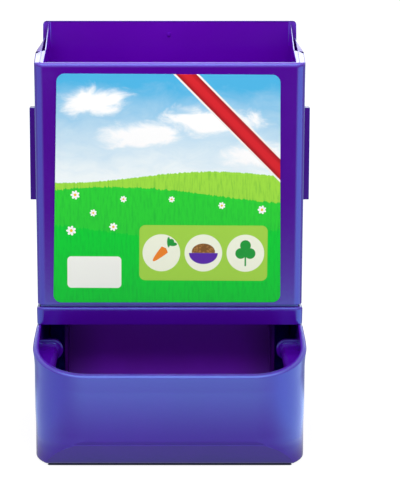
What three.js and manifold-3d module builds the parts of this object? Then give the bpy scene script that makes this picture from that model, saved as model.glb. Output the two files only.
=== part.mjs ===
// Small animal feeder: a gravity bin standing in a trough base, on a cage bracket that slides off.
// Millimetres, +Z up. The trough faces -Y. The origin is on the ground, under the middle of the part.
import * as THREE from 'three';
import { mergeVertices } from 'three/addons/utils/BufferGeometryUtils.js';
import Module from 'manifold-3d';

const wasm = await Module();
wasm.setup();

// Clearances shared by the pieces
const seatGap = 0.3; // between pieces that rest on or in each other
const slideGap = 0.4; // between pieces that slide on each other
const threadGap = 0.25; // round a screw or a bolt
const overrun = 2; // how far a cutter runs past what it cuts

// Plan and height of the body, measured from the bin's front face
const bodyWidth = 134;
const bodyDepth = 70.3;
const openingTop = 62.1; // lower edge of the front, above the trough
const collarHeight = 9.1;
const jointGroove = 1.2; // shadow line between the bin and the collar
const binHeight = 122;
const backRise = 16.3; // the back wall stands this much over the front edge
const wall = 2.4;
const frontCorner = 3.7;
const rearCorner = 3;
const leastRadius = 0.1;

// Bin
const sideTaper = 0.4; // each side draws in by this, from the mouth to the foot
const rimWidth = 4.7; // the side walls are this thick at their top edge
const rimDepth = 3;
const creaseRise = 4.2; // the outer top edge climbs this much to the crease
const earFootRise = 6.6; // and this much to the foot of the ear
const ridgeRise = 15.3; // the inner top edge climbs this much to the back wall
const earCorner = 2.5;
const creaseShare = 0.4; // of the body's depth
const earFootShare = 0.9; // of the body's depth
const spigotWall = 1.8;
const spigotLand = 2.4; // height of the land that joins the spigot to the walls

// Base: collar, trough and floor
const collarProud = 0.45;
const collarWall = 1.8;
const shelfThickness = 2.1; // the spigot stands on this shelf
const troughReach = 45.5; // how far the trough comes forward
const troughCorner = 27.2;
const troughWall = 2.3;
const chamferRise = 13.3; // flat chamfer under the trough's front
const chamferRun = 11.5;
const footRound = 1.2; // round along the rest of the bottom edge
const cavityFillet = 3;
const floorThickness = 2.4;
const rimSlope = 19.3; // degrees that the trough's rim falls to the front
const lipProud = 0.6;
const lipHeight = 2.4;

// Side rails in the trough, with a collar at their back end
const railRadius = 3.3;
const railTop = 50.6;
const railReach = 8.4; // from the trough's side wall to the rail's inner face
const railLength = 55; // from the trough's front to the collar
const railCollarRadius = 4.6;
const railCollarLength = 3;
const railDrop = 1.6; // the rail stays this much under the trough's rim

// Feed ramp inside the base
const rampThickness = 2;
const rampAngle = 52;
const rampBend = 28; // height of the bend between toe and slope
const rampNotch = 9.2; // width cut from the lower corners
const cheekThickness = 1.6; // cheeks along the ramp's sides, and the hoods over the notches
const hoodRise = 8; // the hoods climb this much towards the bin's sides
const ribThickness = 2.2;
const ribSpacing = 52;
const ribDrop = 1.5; // the ribs stay this much under the shelf

// Sifter floor
const sifterThickness = 1.8;
const dustLedge = 6; // the sifter rests on this ledge round the dust opening
const slotWidth = 2.2;
const slotLength = 6.5;
const slotPitchX = 6;
const slotPitchY = 8.6;

// Printed label on the front
const labelSideMargin = 10.5; // on each side, before the label's offset
const labelTopMargin = 5.3;
const labelFootMargin = 1.3;
const labelThickness = 0.3;
const labelCorner = 4;
const labelGap = 0.05; // adhesive
const labelOffset = -0.9;
const labelTilt = 0.4; // degrees, as it was stuck on

// Slide flanges on the bin and the rails of the bracket
const bracketHeight = 50;
const bracketDrop = 28; // top of the bracket under the bin's front edge
const flangeReach = 4.4;
const flangeThickness = 2.4;
const flangeSetback = 0.4; // from the bin's back face
const flangeHeadroom = 2; // top of the flange under the top of the bracket
const railSide = 2.2;
const railLip = 2.4;
const lipClearance = 0.6; // between the rails' lips and the bin's sides
const railFloor = 2.4;
const plateThickness = 3;
const bandThickness = 2;
const bandWidth = 104;
const bandHeight = 22;
const bandCorner = 5;

// Clamp hardware
const boltInset = 16; // from each end of the clamp plate
const boltRadius = 2.5;
const boltHeadRadius = 5.4;
const boltHeadHeight = 2;
const wireGap = 5; // two crossing cage wires
const clampThickness = 4;
const wireGroove = 1; // depth of the grooves that grip the wires
const wireGrooveWidth = 3;
const wireGroovePitch = 12;
const washerRadius = 6;
const washerThickness = 1;
const clampTravel = 4.8;
const nutHubRadius = 4.8;
const nutHubTip = 4; // the hub narrows to this at its outer end
const nutHeight = 7;
const wingReach = 13;
const wingThickness = 2.2;
const wingHeight = 11;
const wingRoot = 5; // height of the wing where it leaves the hub
const boltTip = 1.2; // thread left showing when the nut is out at its limit
const boltChamfer = 0.6;

// Screws that hold the bin in the collar
const screwInset = 19; // from each side of the body
const screwRadius = 1.4;
const screwHeadRadius = 2.9;
const screwHeadHeight = 1.6;
const screwLength = 8.5;
const screwTip = 1.6;
const screwBossRadius = 3.4;
const recessWidth = 0.7;
const recessLength = 3;
const recessDepth = 0.9;

// Facets
const cornerSteps = 8;
const roundSteps = 24;
const filletSteps = 4;

// Heights and places that follow from the sizes above
const halfBody = bodyWidth / 2;
const collarTop = openingTop + collarHeight;
const binFoot = collarTop + jointGroove;
const frontTop = binFoot + binHeight;
const backTop = frontTop + backRise;
const shelfTop = openingTop + shelfThickness;
const chamferSetback = troughWall * Math.hypot(chamferRise, chamferRun) / chamferRise;
const rimFall = Math.tan(THREE.MathUtils.degToRad(rimSlope));
const rampRise = Math.tan(THREE.MathUtils.degToRad(rampAngle));
const rampDepth = rampThickness / Math.cos(THREE.MathUtils.degToRad(rampAngle));
const railEnd = railLength - troughReach;
const rampToe = railEnd + seatGap;
const sifterEnd = railEnd - slideGap;
const sifterSeat = floorThickness + seatGap;
const spigotInset = collarWall + seatGap;
const throatInset = spigotInset + spigotWall;
const bracketTop = frontTop - bracketDrop;
const bracketFoot = bracketTop - bracketHeight;
const boltHeight = bracketFoot + bracketHeight / 2;
const boltSpacing = bandWidth - boltInset * 2;
const flangeFoot = bracketFoot + railFloor + seatGap;
const flangeRear = bodyDepth - flangeSetback;
const flangeFront = flangeRear - flangeThickness;
const flangeEdge = halfBody + flangeReach;
const railInner = flangeEdge + slideGap;
const railOuter = railInner + railSide;
const plateFront = bodyDepth + slideGap;
const plateRear = plateFront + plateThickness;
const bandRear = plateRear + bandThickness;
const clampFront = bandRear + wireGap;
const clampRear = clampFront + clampThickness;
const washerFront = clampRear + seatGap;
const nutFront = washerFront + washerThickness + seatGap;
const boltEnd = nutFront + nutHeight + clampTravel + boltTip;
const boltHeadFront = plateFront + seatGap;
const pocketFloor = boltHeadFront + boltHeadHeight + seatGap;
const partFront = -troughReach - lipProud;
const screwHeight = (shelfTop + collarTop) / 2;
const screwSpacing = bodyWidth - screwInset * 2;
const labelWidth = bodyWidth - labelSideMargin * 2;
const labelHeight = binHeight - labelTopMargin - labelFootMargin;

// Plan outlines: a box with rounded front and rear corners
const binPlan = {
  left: -halfBody, right: halfBody, front: 0, rear: bodyDepth,
  frontRadius: frontCorner, rearRadius: rearCorner
};
const collarPlan = { ...binPlan, front: -collarProud };
const troughPlan = { ...binPlan, front: -troughReach, frontRadius: troughCorner };

// Directions that an outline can lie in: its two axes, then its thickness
const axisX = new THREE.Vector3(1, 0, 0);
const axisY = new THREE.Vector3(0, 1, 0);
const axisZ = new THREE.Vector3(0, 0, 1);
const flat = new THREE.Matrix4();
const sideways = new THREE.Matrix4().makeBasis(axisY, axisZ, axisX);
const upright = new THREE.Matrix4().makeBasis(axisX, axisZ, axisY.clone().negate());

// A closed mesh as a solid that can be joined and cut
function toSolid(geometry) {
  const plain = geometry.clone();
  plain.deleteAttribute('normal');
  plain.deleteAttribute('uv');
  const merged = mergeVertices(plain);
  const vertProperties = Float32Array.from(merged.attributes.position.array);
  const triVerts = Uint32Array.from(merged.index.array);
  return new wasm.Manifold(new wasm.Mesh({ numProp: 3, vertProperties, triVerts }));
}

// A solid as a geometry for a mesh
function toGeometry(solid) {
  const { vertProperties, triVerts } = solid.getMesh();
  const geometry = new THREE.BufferGeometry();
  geometry.setAttribute('position', new THREE.BufferAttribute(vertProperties, 3));
  geometry.setIndex(new THREE.BufferAttribute(triVerts, 1));
  geometry.computeVertexNormals();
  return geometry;
}

function cut(solid, ...cutters) {
  return cutters.reduce((left, cutter) => left.subtract(cutter), solid);
}

function join(solid, ...others) {
  return others.reduce((left, other) => left.add(other), solid);
}

// One level of a plan outline, drawn in by an inset
function ring(plan, inset, height) {
  const front = plan.front + inset;
  const rear = plan.rear - inset;
  const left = plan.left + inset;
  const right = plan.right - inset;
  const frontRadius = Math.max(plan.frontRadius - inset, leastRadius);
  const rearRadius = Math.max(plan.rearRadius - inset, leastRadius);
  const corners = [
    [right - frontRadius, front + frontRadius, frontRadius],
    [right - rearRadius, rear - rearRadius, rearRadius],
    [left + rearRadius, rear - rearRadius, rearRadius],
    [left + frontRadius, front + frontRadius, frontRadius]
  ];
  return corners.flatMap(([x, y, radius], corner) => {
    const points = [];
    for (let step = 0; step <= cornerSteps; step += 1) {
      const angle = (corner - 1 + step / cornerSteps) * Math.PI / 2;
      points.push([x + radius * Math.cos(angle), y + radius * Math.sin(angle), height]);
    }
    return points;
  });
}

// A solid through a stack of rings, closed at both ends
function loft(rings) {
  const count = rings[0].length;
  const triangles = [];
  for (let level = 0; level + 1 < rings.length; level += 1) {
    for (let place = 0; place < count; place += 1) {
      const next = (place + 1) % count;
      const a = level * count + place;
      const b = level * count + next;
      triangles.push(a, b, b + count, a, b + count, a + count);
    }
  }
  const last = (rings.length - 1) * count;
  for (let place = 1; place + 1 < count; place += 1) {
    triangles.push(0, place + 1, place);
    triangles.push(last, last + place, last + place + 1);
  }
  const geometry = new THREE.BufferGeometry();
  geometry.setAttribute('position', new THREE.Float32BufferAttribute(rings.flat(2), 3));
  geometry.setIndex(triangles);
  return toSolid(geometry);
}

// A straight prism over a plan outline
function prism(plan, inset, bottom, top) {
  return loft([ring(plan, inset, bottom), ring(plan, inset, top)]);
}

// Rings for a bottom edge rounded by a fillet
function filletRings(plan, inset, bottom, radius) {
  const rings = [];
  for (let step = 0; step <= filletSteps; step += 1) {
    const angle = step / filletSteps * Math.PI / 2;
    const drawnIn = inset + radius * (1 - Math.sin(angle));
    rings.push(ring(plan, drawnIn, bottom + radius * (1 - Math.cos(angle))));
  }
  return rings;
}

function polygon(points) {
  return new THREE.Shape(points.map(([a, b]) => new THREE.Vector2(a, b)));
}

function roundedBox(left, low, right, high, radius) {
  const shape = new THREE.Shape();
  shape.absarc(right - radius, low + radius, radius, -Math.PI / 2, 0);
  shape.absarc(right - radius, high - radius, radius, 0, Math.PI / 2);
  shape.absarc(left + radius, high - radius, radius, Math.PI / 2, Math.PI);
  shape.absarc(left + radius, low + radius, radius, Math.PI, Math.PI * 1.5);
  shape.closePath();
  return shape;
}

// An outline with thickness, lying in one of the directions above
function slab(shape, from, to, lie) {
  const geometry = new THREE.ExtrudeGeometry(shape, {
    depth: to - from, bevelEnabled: false, curveSegments: cornerSteps
  });
  geometry.translate(0, 0, lie === upright ? -to : from);
  geometry.applyMatrix4(lie);
  return toSolid(geometry);
}

function block(left, right, front, rear, bottom, top) {
  const geometry = new THREE.BoxGeometry(right - left, rear - front, top - bottom);
  geometry.translate((left + right) / 2, (front + rear) / 2, (bottom + top) / 2);
  return toSolid(geometry);
}

// A round bar along Y
function rod(radius, front, rear, x, z) {
  const geometry = new THREE.CylinderGeometry(radius, radius, rear - front, roundSteps);
  geometry.translate(x, (front + rear) / 2, z);
  return toSolid(geometry);
}

// A turned solid along Y, from a closed profile of radius and place
function turned(points) {
  const profile = points.map(([radius, place]) => new THREE.Vector2(radius, place));
  return toSolid(new THREE.LatheGeometry(profile, roundSteps));
}

function finish(color, roughness, metalness) {
  return { color, roughness, metalness };
}

const violetPlastic = finish(0x55009e, 0.28, 0);
const violetTrough = finish(0x4e4da6, 0.28, 0);
const violetDark = finish(0x430173, 0.35, 0);
const printedFilm = finish(0xbfe3f2, 0.35, 0);
const zincSteel = finish(0xb9bcc0, 0.35, 0.9);

function part(name, solid, { color, roughness, metalness }) {
  const material = new THREE.MeshStandardMaterial({ color, roughness, metalness });
  const mesh = new THREE.Mesh(toGeometry(solid), material);
  mesh.name = name;
  return mesh;
}

// Everything above the slope of the trough's rim, lowered by a drop
function aboveRim(drop) {
  const far = troughReach + lipProud + overrun;
  const start = openingTop - drop;
  return slab(polygon([
    [-collarProud, start],
    [-collarProud, collarTop + overrun],
    [-far, collarTop + overrun],
    [-far, start - (far - collarProud) * rimFall]
  ]), -halfBody - overrun, halfBody + overrun, sideways);
}

// Everything in front of the chamfer under the trough, with the chamfer moved back by a setback
function beforeChamfer(setback) {
  const front = -troughReach + setback;
  const extra = overrun / chamferRise * chamferRun;
  const far = front - extra - overrun;
  return slab(polygon([
    [front - extra, chamferRise + overrun],
    [far, chamferRise + overrun],
    [far, -overrun],
    [front + chamferRun + extra, -overrun]
  ]), -halfBody - overrun, halfBody + overrun, sideways);
}

// Walls of the bin, drawn in at the foot and open at both ends
function binWalls() {
  const outer = prism(binPlan, 0, binFoot, backTop);
  const inner = prism(binPlan, wall, binFoot - overrun, backTop + overrun);
  const draft = polygon([
    [-halfBody - overrun, binFoot - overrun],
    [-halfBody + sideTaper, binFoot - overrun],
    [-halfBody + sideTaper, binFoot],
    [-halfBody, frontTop],
    [-halfBody - overrun, frontTop]
  ]);
  const leftDraft = slab(draft, -overrun, bodyDepth + overrun, upright);
  return cut(outer, inner, leftDraft, leftDraft.mirror([1, 0, 0]));
}

// What is cut away above the front wall and the outer edges of the side walls
function mouthCutter() {
  const crease = creaseShare * bodyDepth;
  const earFoot = earFootShare * bodyDepth;
  const backFace = bodyDepth - wall;
  return slab(polygon([
    [-overrun, frontTop],
    [0, frontTop],
    [crease, frontTop + creaseRise],
    [earFoot, frontTop + earFootRise],
    [backFace, frontTop + earFootRise + (backFace - earFoot)],
    [backFace, backTop + overrun],
    [-overrun, backTop + overrun]
  ]), -halfBody - overrun, halfBody + overrun, sideways);
}

// The thick inner edge of the right side wall, which widens into the ear at the back wall
function rimStrip() {
  const inner = halfBody - rimWidth;
  const middle = halfBody - wall / 2;
  const crease = creaseShare * bodyDepth;
  const backFace = bodyDepth - wall / 2;
  const under = frontTop - rimDepth;
  const profile = polygon([
    [wall / 2, under],
    [backFace, under + earFootRise],
    [backFace, frontTop + ridgeRise],
    [wall / 2, frontTop]
  ]);
  const plan = polygon([
    [inner, 0],
    [halfBody - wall, 0],
    [halfBody - wall, crease],
    [middle, crease],
    [halfBody, bodyDepth],
    [inner, bodyDepth]
  ]);
  return slab(profile, inner, halfBody, sideways).intersect(slab(plan, under, backTop, flat));
}

function screwHole(x, radius, front, rear) {
  return rod(radius, front, rear, x, screwHeight);
}

// Bin: walls, spigot, ears and slide flanges in one moulding
function hopperShell() {
  const land = cut(
    prism(binPlan, sideTaper, binFoot, binFoot + spigotLand),
    prism(collarPlan, throatInset, binFoot - overrun, binFoot + spigotLand + overrun)
  );
  const spigot = cut(
    prism(collarPlan, spigotInset, shelfTop + seatGap, binFoot + spigotLand),
    prism(collarPlan, throatInset, shelfTop, binFoot + spigotLand + overrun)
  );
  const ears = slab(roundedBox(
    -halfBody, -bodyDepth, halfBody, backTop, earCorner
  ), -overrun, bodyDepth + overrun, upright);
  const strip = rimStrip();
  let solid = join(cut(binWalls(), mouthCutter()), strip, strip.mirror([1, 0, 0]));
  solid = join(solid.intersect(ears), land, spigot);
  for (const side of [-1, 1]) {
    const inner = side * (halfBody - wall);
    const outer = side * flangeEdge;
    const flange = block(
      Math.min(inner, outer), Math.max(inner, outer), flangeFront, flangeRear,
      flangeFoot, bracketTop - flangeHeadroom
    );
    const x = side * screwSpacing / 2;
    const spigotBack = bodyDepth - spigotInset - spigotWall / 2;
    const boss = screwHole(x, screwBossRadius, bodyDepth - screwLength, spigotBack);
    const pilot = screwHole(x, screwRadius + threadGap, bodyDepth - screwLength - overrun, bodyDepth);
    solid = cut(join(solid, flange, boss), pilot);
  }
  return solid;
}

// Trough rail: a half-round bar along the side wall with a larger collar at its back end
function railBar(radius, reach, front, rear) {
  const wallFace = halfBody - troughWall / 2;
  const centre = wallFace - troughWall / 2 - reach + radius;
  const middle = railTop - railRadius;
  const shape = new THREE.Shape();
  shape.absarc(centre, middle, radius, Math.PI / 2, Math.PI * 1.5);
  shape.lineTo(wallFace, middle - radius);
  shape.lineTo(wallFace, middle + radius);
  shape.closePath();
  return slab(shape, front, rear, upright);
}

function troughRails(outer) {
  const bar = railBar(railRadius, railReach, -troughReach, railEnd + railCollarLength / 2);
  const reach = railReach + railCollarRadius - railRadius;
  const collar = railBar(railCollarRadius, reach, railEnd, railEnd + railCollarLength);
  const right = cut(bar, aboveRim(railDrop)).add(collar);
  return right.add(right.mirror([1, 0, 0])).intersect(outer);
}

// Upright ribs in the base that carry the ramp
function rampRibs() {
  const front = rampToe + rampThickness + seatGap;
  const rear = bodyDepth - troughWall / 2;
  const top = openingTop - ribDrop;
  const under = rampBend - rampDepth - seatGap;
  const reachesTop = rampToe + (top - under) / rampRise;
  const profile = polygon([
    [front, floorThickness / 2],
    [rear, floorThickness / 2],
    [rear, top],
    [reachesTop, top],
    [front, under + (front - rampToe) * rampRise]
  ]);
  const half = ribThickness / 2;
  const place = ribSpacing / 2;
  const right = slab(profile, place - half, place + half, sideways);
  return right.add(right.mirror([1, 0, 0]));
}

// Plan outline of the sifter floor, inside the chamfer, the rails and the ramp's toe
const sifterPlan = {
  left: -(halfBody - troughWall - railReach - slideGap),
  right: halfBody - troughWall - railReach - slideGap,
  front: -troughReach + chamferSetback + chamferRun * (1 - sifterSeat / chamferRise) + slideGap,
  rear: sifterEnd,
  frontRadius: troughCorner - troughWall - chamferRun,
  rearRadius: rearCorner
};

// Base: trough, collar, rails and ribs in one moulding
function troughBase() {
  const bowl = loft([
    ...filletRings(troughPlan, 0, 0, footRound),
    ring(troughPlan, 0, openingTop)
  ]);
  const lipRings = loft([
    ring(troughPlan, -lipProud, 0),
    ring(troughPlan, -lipProud, openingTop)
  ]);
  const lipBand = cut(lipRings, aboveRim(0)).intersect(aboveRim(lipHeight));
  const lip = cut(lipBand, block(
    -bodyWidth, bodyWidth, -collarProud - lipProud, bodyDepth * 2, -overrun, collarTop + overrun
  ));
  const collar = prism(collarPlan, 0, openingTop - shelfThickness, collarTop);
  const outer = join(cut(bowl, aboveRim(0), beforeChamfer(0)), lip, collar);
  const cavity = cut(loft([
    ...filletRings(troughPlan, troughWall, floorThickness, cavityFillet),
    ring(troughPlan, troughWall, openingTop)
  ]), beforeChamfer(chamferSetback));
  const dustOpening = prism(sifterPlan, dustLedge, -overrun, floorThickness + overrun);
  const shelfOpening = prism(collarPlan, throatInset, openingTop - overrun, shelfTop + overrun);
  const pocket = prism(collarPlan, collarWall, shelfTop, collarTop + overrun);
  let solid = cut(outer, cavity, dustOpening, shelfOpening, pocket);
  solid = join(solid, troughRails(bowl), rampRibs());
  for (const side of [-1, 1]) {
    const x = side * screwSpacing / 2;
    const bore = screwHole(x, screwRadius + threadGap, bodyDepth - collarWall - overrun, bodyDepth + overrun);
    solid = cut(solid, bore, screwSink(x));
  }
  return solid;
}

// Cone that a countersunk head sits in, opening to the back
function screwSink(x) {
  const wide = screwHeadRadius + threadGap;
  const narrow = screwRadius + threadGap;
  const cone = turned([
    [0, -screwHeadHeight],
    [narrow, -screwHeadHeight],
    [wide, 0],
    [wide, overrun],
    [0, overrun]
  ]);
  return cone.translate([x, bodyDepth, screwHeight]);
}

function collarScrew() {
  const body = turned([
    [0, -screwLength],
    [screwRadius / 2, -screwLength],
    [screwRadius, -screwLength + screwTip],
    [screwRadius, -screwHeadHeight],
    [screwHeadRadius, 0],
    [0, 0]
  ]);
  const half = recessWidth / 2;
  const reach = recessLength / 2;
  return cut(
    body,
    block(-reach, reach, -recessDepth, overrun, -half, half),
    block(-half, half, -recessDepth, overrun, -reach, reach)
  );
}

// Ramp: an upright toe, then a slope up to the bin's back wall, with a cheek along each side.
// A hood over each notch leads the feed from the bin's side wall onto the ramp.
function feedRamp() {
  const halfWidth = halfBody - throatInset - slideGap;
  const rear = bodyDepth - wall - slideGap;
  const bottom = floorThickness + seatGap;
  const toeBack = rampToe + rampThickness;
  const rampEnd = rampBend + (rear - rampToe) * rampRise;
  const profile = polygon([
    [rampToe, bottom],
    [toeBack, bottom],
    [toeBack, rampBend + rampThickness * rampRise - rampDepth],
    [rear, rampEnd - rampDepth],
    [rear, rampEnd],
    [rampToe, rampBend]
  ]);
  const notchSide = halfWidth - rampNotch;
  const notch = block(
    notchSide, halfWidth + overrun, rampToe - overrun, rear, -overrun, openingTop
  );
  const cheekTop = openingTop - seatGap;
  const cheekEnd = rampToe + (cheekTop - rampBend) / rampRise;
  const cheek = slab(polygon([
    [rampToe, rampBend - rampDepth / 2],
    [cheekEnd, cheekTop - rampDepth / 2],
    [cheekEnd, cheekTop],
    [rampToe, cheekTop]
  ]), notchSide - cheekThickness, notchSide, sideways);
  const hoodEnd = cheekEnd + hoodRise / rampRise;
  const hood = slab(polygon([
    [notchSide - cheekThickness, cheekTop - cheekThickness],
    [notchSide, cheekTop - cheekThickness],
    [halfWidth, cheekTop + hoodRise - cheekThickness],
    [halfWidth, cheekTop + hoodRise],
    [notchSide - cheekThickness, cheekTop]
  ]), rampToe, hoodEnd, upright);
  const behind = slab(polygon([
    [rampToe, rampBend - rampDepth],
    [rampToe, -overrun],
    [rear, -overrun],
    [rear, rampEnd - rampDepth]
  ]), notchSide - rampNotch, halfWidth + overrun, sideways);
  const side = join(cheek, cut(hood, behind));
  return join(
    cut(slab(profile, -halfWidth, halfWidth, sideways), notch, notch.mirror([1, 0, 0])),
    side, side.mirror([1, 0, 0])
  );
}

// Slots of the sifter floor, those that stay inside the dust opening
function sifterSlots() {
  const edge = dustLedge + slotWidth / 2;
  const left = sifterPlan.left + edge;
  const right = sifterPlan.right - edge;
  const front = sifterPlan.front + edge;
  const rear = sifterPlan.rear - edge;
  const columns = Math.floor((right - left - slotWidth) / slotPitchX) + 1;
  const rows = Math.floor((rear - front - slotLength) / slotPitchY) + 1;
  const corner = sifterPlan.frontRadius - edge;
  const slots = [];
  for (let column = 0; column < columns; column += 1) {
    for (let row = 0; row < rows; row += 1) {
      const x = (left + right) / 2 + (column - (columns - 1) / 2) * slotPitchX;
      const y = (front + rear) / 2 + (row - (rows - 1) / 2) * slotPitchY;
      const overX = Math.abs(x) + slotWidth / 2 - (right - corner);
      const overY = front + corner - (y - slotLength / 2);
      if (overX > 0 && overY > 0 && Math.hypot(overX, overY) > corner) continue;
      slots.push([x, y]);
    }
  }
  return slots;
}

function sifterFloor() {
  const plate = prism(sifterPlan, 0, sifterSeat, sifterSeat + sifterThickness);
  const cutters = sifterSlots().map(([x, y]) => block(
    x - slotWidth / 2, x + slotWidth / 2, y - slotLength / 2, y + slotLength / 2,
    sifterSeat - overrun, sifterSeat + sifterThickness + overrun
  ));
  return cut(plate, ...cutters);
}

function frontLabel() {
  const halfWidth = labelWidth / 2;
  const halfHeight = labelHeight / 2;
  const outline = roundedBox(-halfWidth, -halfHeight, halfWidth, halfHeight, labelCorner);
  return slab(outline, -labelThickness, 0, upright);
}

// Bracket: a plate with two rails that close round the bin's flanges
function mountingBracket() {
  const lipInner = halfBody + lipClearance;
  const lipRear = flangeFront - slideGap;
  const lipFront = lipRear - railLip;
  const section = polygon([
    [-railOuter, lipFront],
    [-lipInner, lipFront],
    [-lipInner, lipRear],
    [-railInner, lipRear],
    [-railInner, plateFront],
    [railInner, plateFront],
    [railInner, lipRear],
    [lipInner, lipRear],
    [lipInner, lipFront],
    [railOuter, lipFront],
    [railOuter, plateRear],
    [-railOuter, plateRear]
  ]);
  const rails = slab(section, bracketFoot, bracketTop, flat);
  const stop = block(lipInner, railOuter, lipFront, plateRear, bracketFoot, bracketFoot + railFloor);
  const halfBand = bandWidth / 2;
  const band = slab(roundedBox(
    -halfBand, boltHeight - bandHeight / 2, halfBand, boltHeight + bandHeight / 2, bandCorner
  ), plateRear - plateThickness / 2, bandRear, upright);
  let solid = join(rails, stop, stop.mirror([1, 0, 0]), band);
  for (const side of [-1, 1]) {
    const x = side * boltSpacing / 2;
    const pocket = rod(boltHeadRadius + seatGap, plateFront - overrun, pocketFloor, x, boltHeight);
    const bore = rod(boltRadius + threadGap, plateFront, bandRear + overrun, x, boltHeight);
    solid = cut(solid, pocket, bore);
  }
  return solid;
}

function bracketBolt() {
  const headRear = boltHeadHeight;
  const end = boltEnd - boltHeadFront;
  return turned([
    [0, 0],
    [boltHeadRadius, 0],
    [boltHeadRadius, headRear],
    [boltRadius, headRear],
    [boltRadius, end - boltChamfer],
    [boltRadius - boltChamfer, end],
    [0, end]
  ]);
}

// Clamp plate behind the cage wires, with upright grooves that grip them
function clampPlate() {
  const halfWidth = bandWidth / 2;
  const halfHeight = bandHeight / 2;
  let solid = slab(
    roundedBox(-halfWidth, -halfHeight, halfWidth, halfHeight, bandCorner), 0, clampThickness, upright
  );
  const pairs = Math.floor((halfWidth - bandCorner) / wireGroovePitch);
  for (let place = -pairs; place <= pairs; place += 1) {
    const x = place * wireGroovePitch;
    const groove = polygon([
      [x - wireGrooveWidth / 2, -overrun],
      [x + wireGrooveWidth / 2, -overrun],
      [x + wireGrooveWidth / 2, 0],
      [x, wireGroove],
      [x - wireGrooveWidth / 2, 0]
    ]);
    solid = cut(solid, slab(groove, -halfHeight - overrun, halfHeight + overrun, flat));
  }
  for (const side of [-1, 1]) {
    const x = side * boltSpacing / 2;
    solid = cut(solid, rod(boltRadius + threadGap, -overrun, clampThickness + overrun, x, 0));
  }
  return solid;
}

function washer() {
  const bore = boltRadius + threadGap;
  return turned([
    [bore, 0],
    [washerRadius, 0],
    [washerRadius, washerThickness],
    [bore, washerThickness],
    [bore, 0]
  ]);
}

function wingNut() {
  const bore = boltRadius + threadGap;
  const hub = turned([
    [0, 0],
    [nutHubRadius, 0],
    [nutHubTip, nutHeight],
    [0, nutHeight]
  ]);
  const middle = (nutHubRadius + wingReach) / 2;
  const shape = new THREE.Shape();
  shape.moveTo(0, 0);
  shape.lineTo(nutHubRadius, 0);
  shape.quadraticCurveTo(middle, wingRoot / 2, wingReach, wingRoot);
  shape.quadraticCurveTo(wingReach, wingHeight, middle, wingHeight);
  shape.quadraticCurveTo(nutHubRadius, wingRoot, 0, wingRoot);
  shape.closePath();
  const wing = slab(shape, -wingThickness / 2, wingThickness / 2, flat);
  const wings = wing.add(wing.mirror([1, 0, 0]));
  return cut(hub.add(wings), rod(bore, -overrun, wingHeight + overrun, 0, 0));
}

const feeder = new THREE.Group();
feeder.position.y = -(partFront + boltEnd) / 2;

const bin = new THREE.Group();
bin.add(part('hopper_shell', hopperShell(), violetPlastic));
const label = part('front_label', frontLabel(), printedFilm);
label.position.set(labelOffset, -labelGap, frontTop - labelTopMargin - labelHeight / 2);
label.rotation.y = THREE.MathUtils.degToRad(labelTilt);
bin.add(label);
feeder.add(bin);

const base = new THREE.Group();
base.add(part('trough_base', troughBase(), violetTrough));
base.add(part('feed_ramp', feedRamp(), violetDark));
base.add(part('sifter_floor', sifterFloor(), violetDark));
feeder.add(base);

const bracket = new THREE.Group();
bracket.add(part('mounting_bracket', mountingBracket(), violetPlastic));
const clamp = new THREE.Group();
clamp.position.set(0, clampFront, boltHeight);
clamp.add(part('clamp_plate', clampPlate(), violetPlastic));
bracket.add(clamp);
feeder.add(bracket);

for (const [side, suffix] of [[-1, 'left'], [1, 'right']]) {
  const screw = part(`collar_screw_${suffix}`, collarScrew(), zincSteel);
  screw.position.set(side * screwSpacing / 2, bodyDepth, screwHeight);
  base.add(screw);

  const boltX = side * boltSpacing / 2;
  const bolt = part(`bracket_bolt_${suffix}`, bracketBolt(), zincSteel);
  bolt.position.set(boltX, boltHeadFront, boltHeight);
  bracket.add(bolt);

  const ringWasher = part(`washer_${suffix}`, washer(), zincSteel);
  ringWasher.position.set(boltX, washerFront - clampFront, 0);
  clamp.add(ringWasher);

  const nut = part(`wing_nut_${suffix}`, wingNut(), zincSteel);
  nut.position.set(boltX, nutFront - clampFront, 0);
  clamp.add(nut);
}

export default feeder;
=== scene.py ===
# Looks of a small animal feeder: a violet bin over a trough, on a bracket for cage wires.
# Lengths are in millimetres here, depth counted back from the bin's front face, height from the ground.
import math

import bmesh
import bpy
from mathutils import Matrix, Vector


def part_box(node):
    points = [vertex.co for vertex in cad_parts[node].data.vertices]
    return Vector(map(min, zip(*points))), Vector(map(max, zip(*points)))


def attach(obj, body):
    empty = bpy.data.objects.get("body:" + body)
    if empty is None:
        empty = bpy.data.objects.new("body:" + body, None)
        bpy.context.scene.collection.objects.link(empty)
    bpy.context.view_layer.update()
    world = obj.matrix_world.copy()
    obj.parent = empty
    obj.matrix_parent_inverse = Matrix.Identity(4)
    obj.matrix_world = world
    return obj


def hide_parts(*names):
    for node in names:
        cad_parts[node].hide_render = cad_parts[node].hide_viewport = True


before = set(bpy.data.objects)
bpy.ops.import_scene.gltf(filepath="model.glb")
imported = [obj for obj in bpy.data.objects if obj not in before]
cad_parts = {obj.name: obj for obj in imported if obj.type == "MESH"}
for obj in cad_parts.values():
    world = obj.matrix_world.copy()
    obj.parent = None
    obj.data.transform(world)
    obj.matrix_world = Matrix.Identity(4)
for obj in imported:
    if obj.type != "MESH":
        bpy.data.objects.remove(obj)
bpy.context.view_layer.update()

mm = 0.001
weldDistance = 0.000002
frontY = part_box("hopper_shell")[0].y  # the bin's front face in the frame
print("frame loaded:", len(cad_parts), "nodes")


# Meshes

def place(point):
    return Vector((point[0] * mm, point[1] * mm + frontY, point[2] * mm))


def between(value, stops):
    # reads a height or a width off a line of (place, value) stops
    if value <= stops[0][0]:
        return stops[0][1]
    for (low, first), (high, second) in zip(stops, stops[1:]):
        if value <= high:
            return first + (second - first) * (value - low) / (high - low)
    return stops[-1][1]


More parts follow.
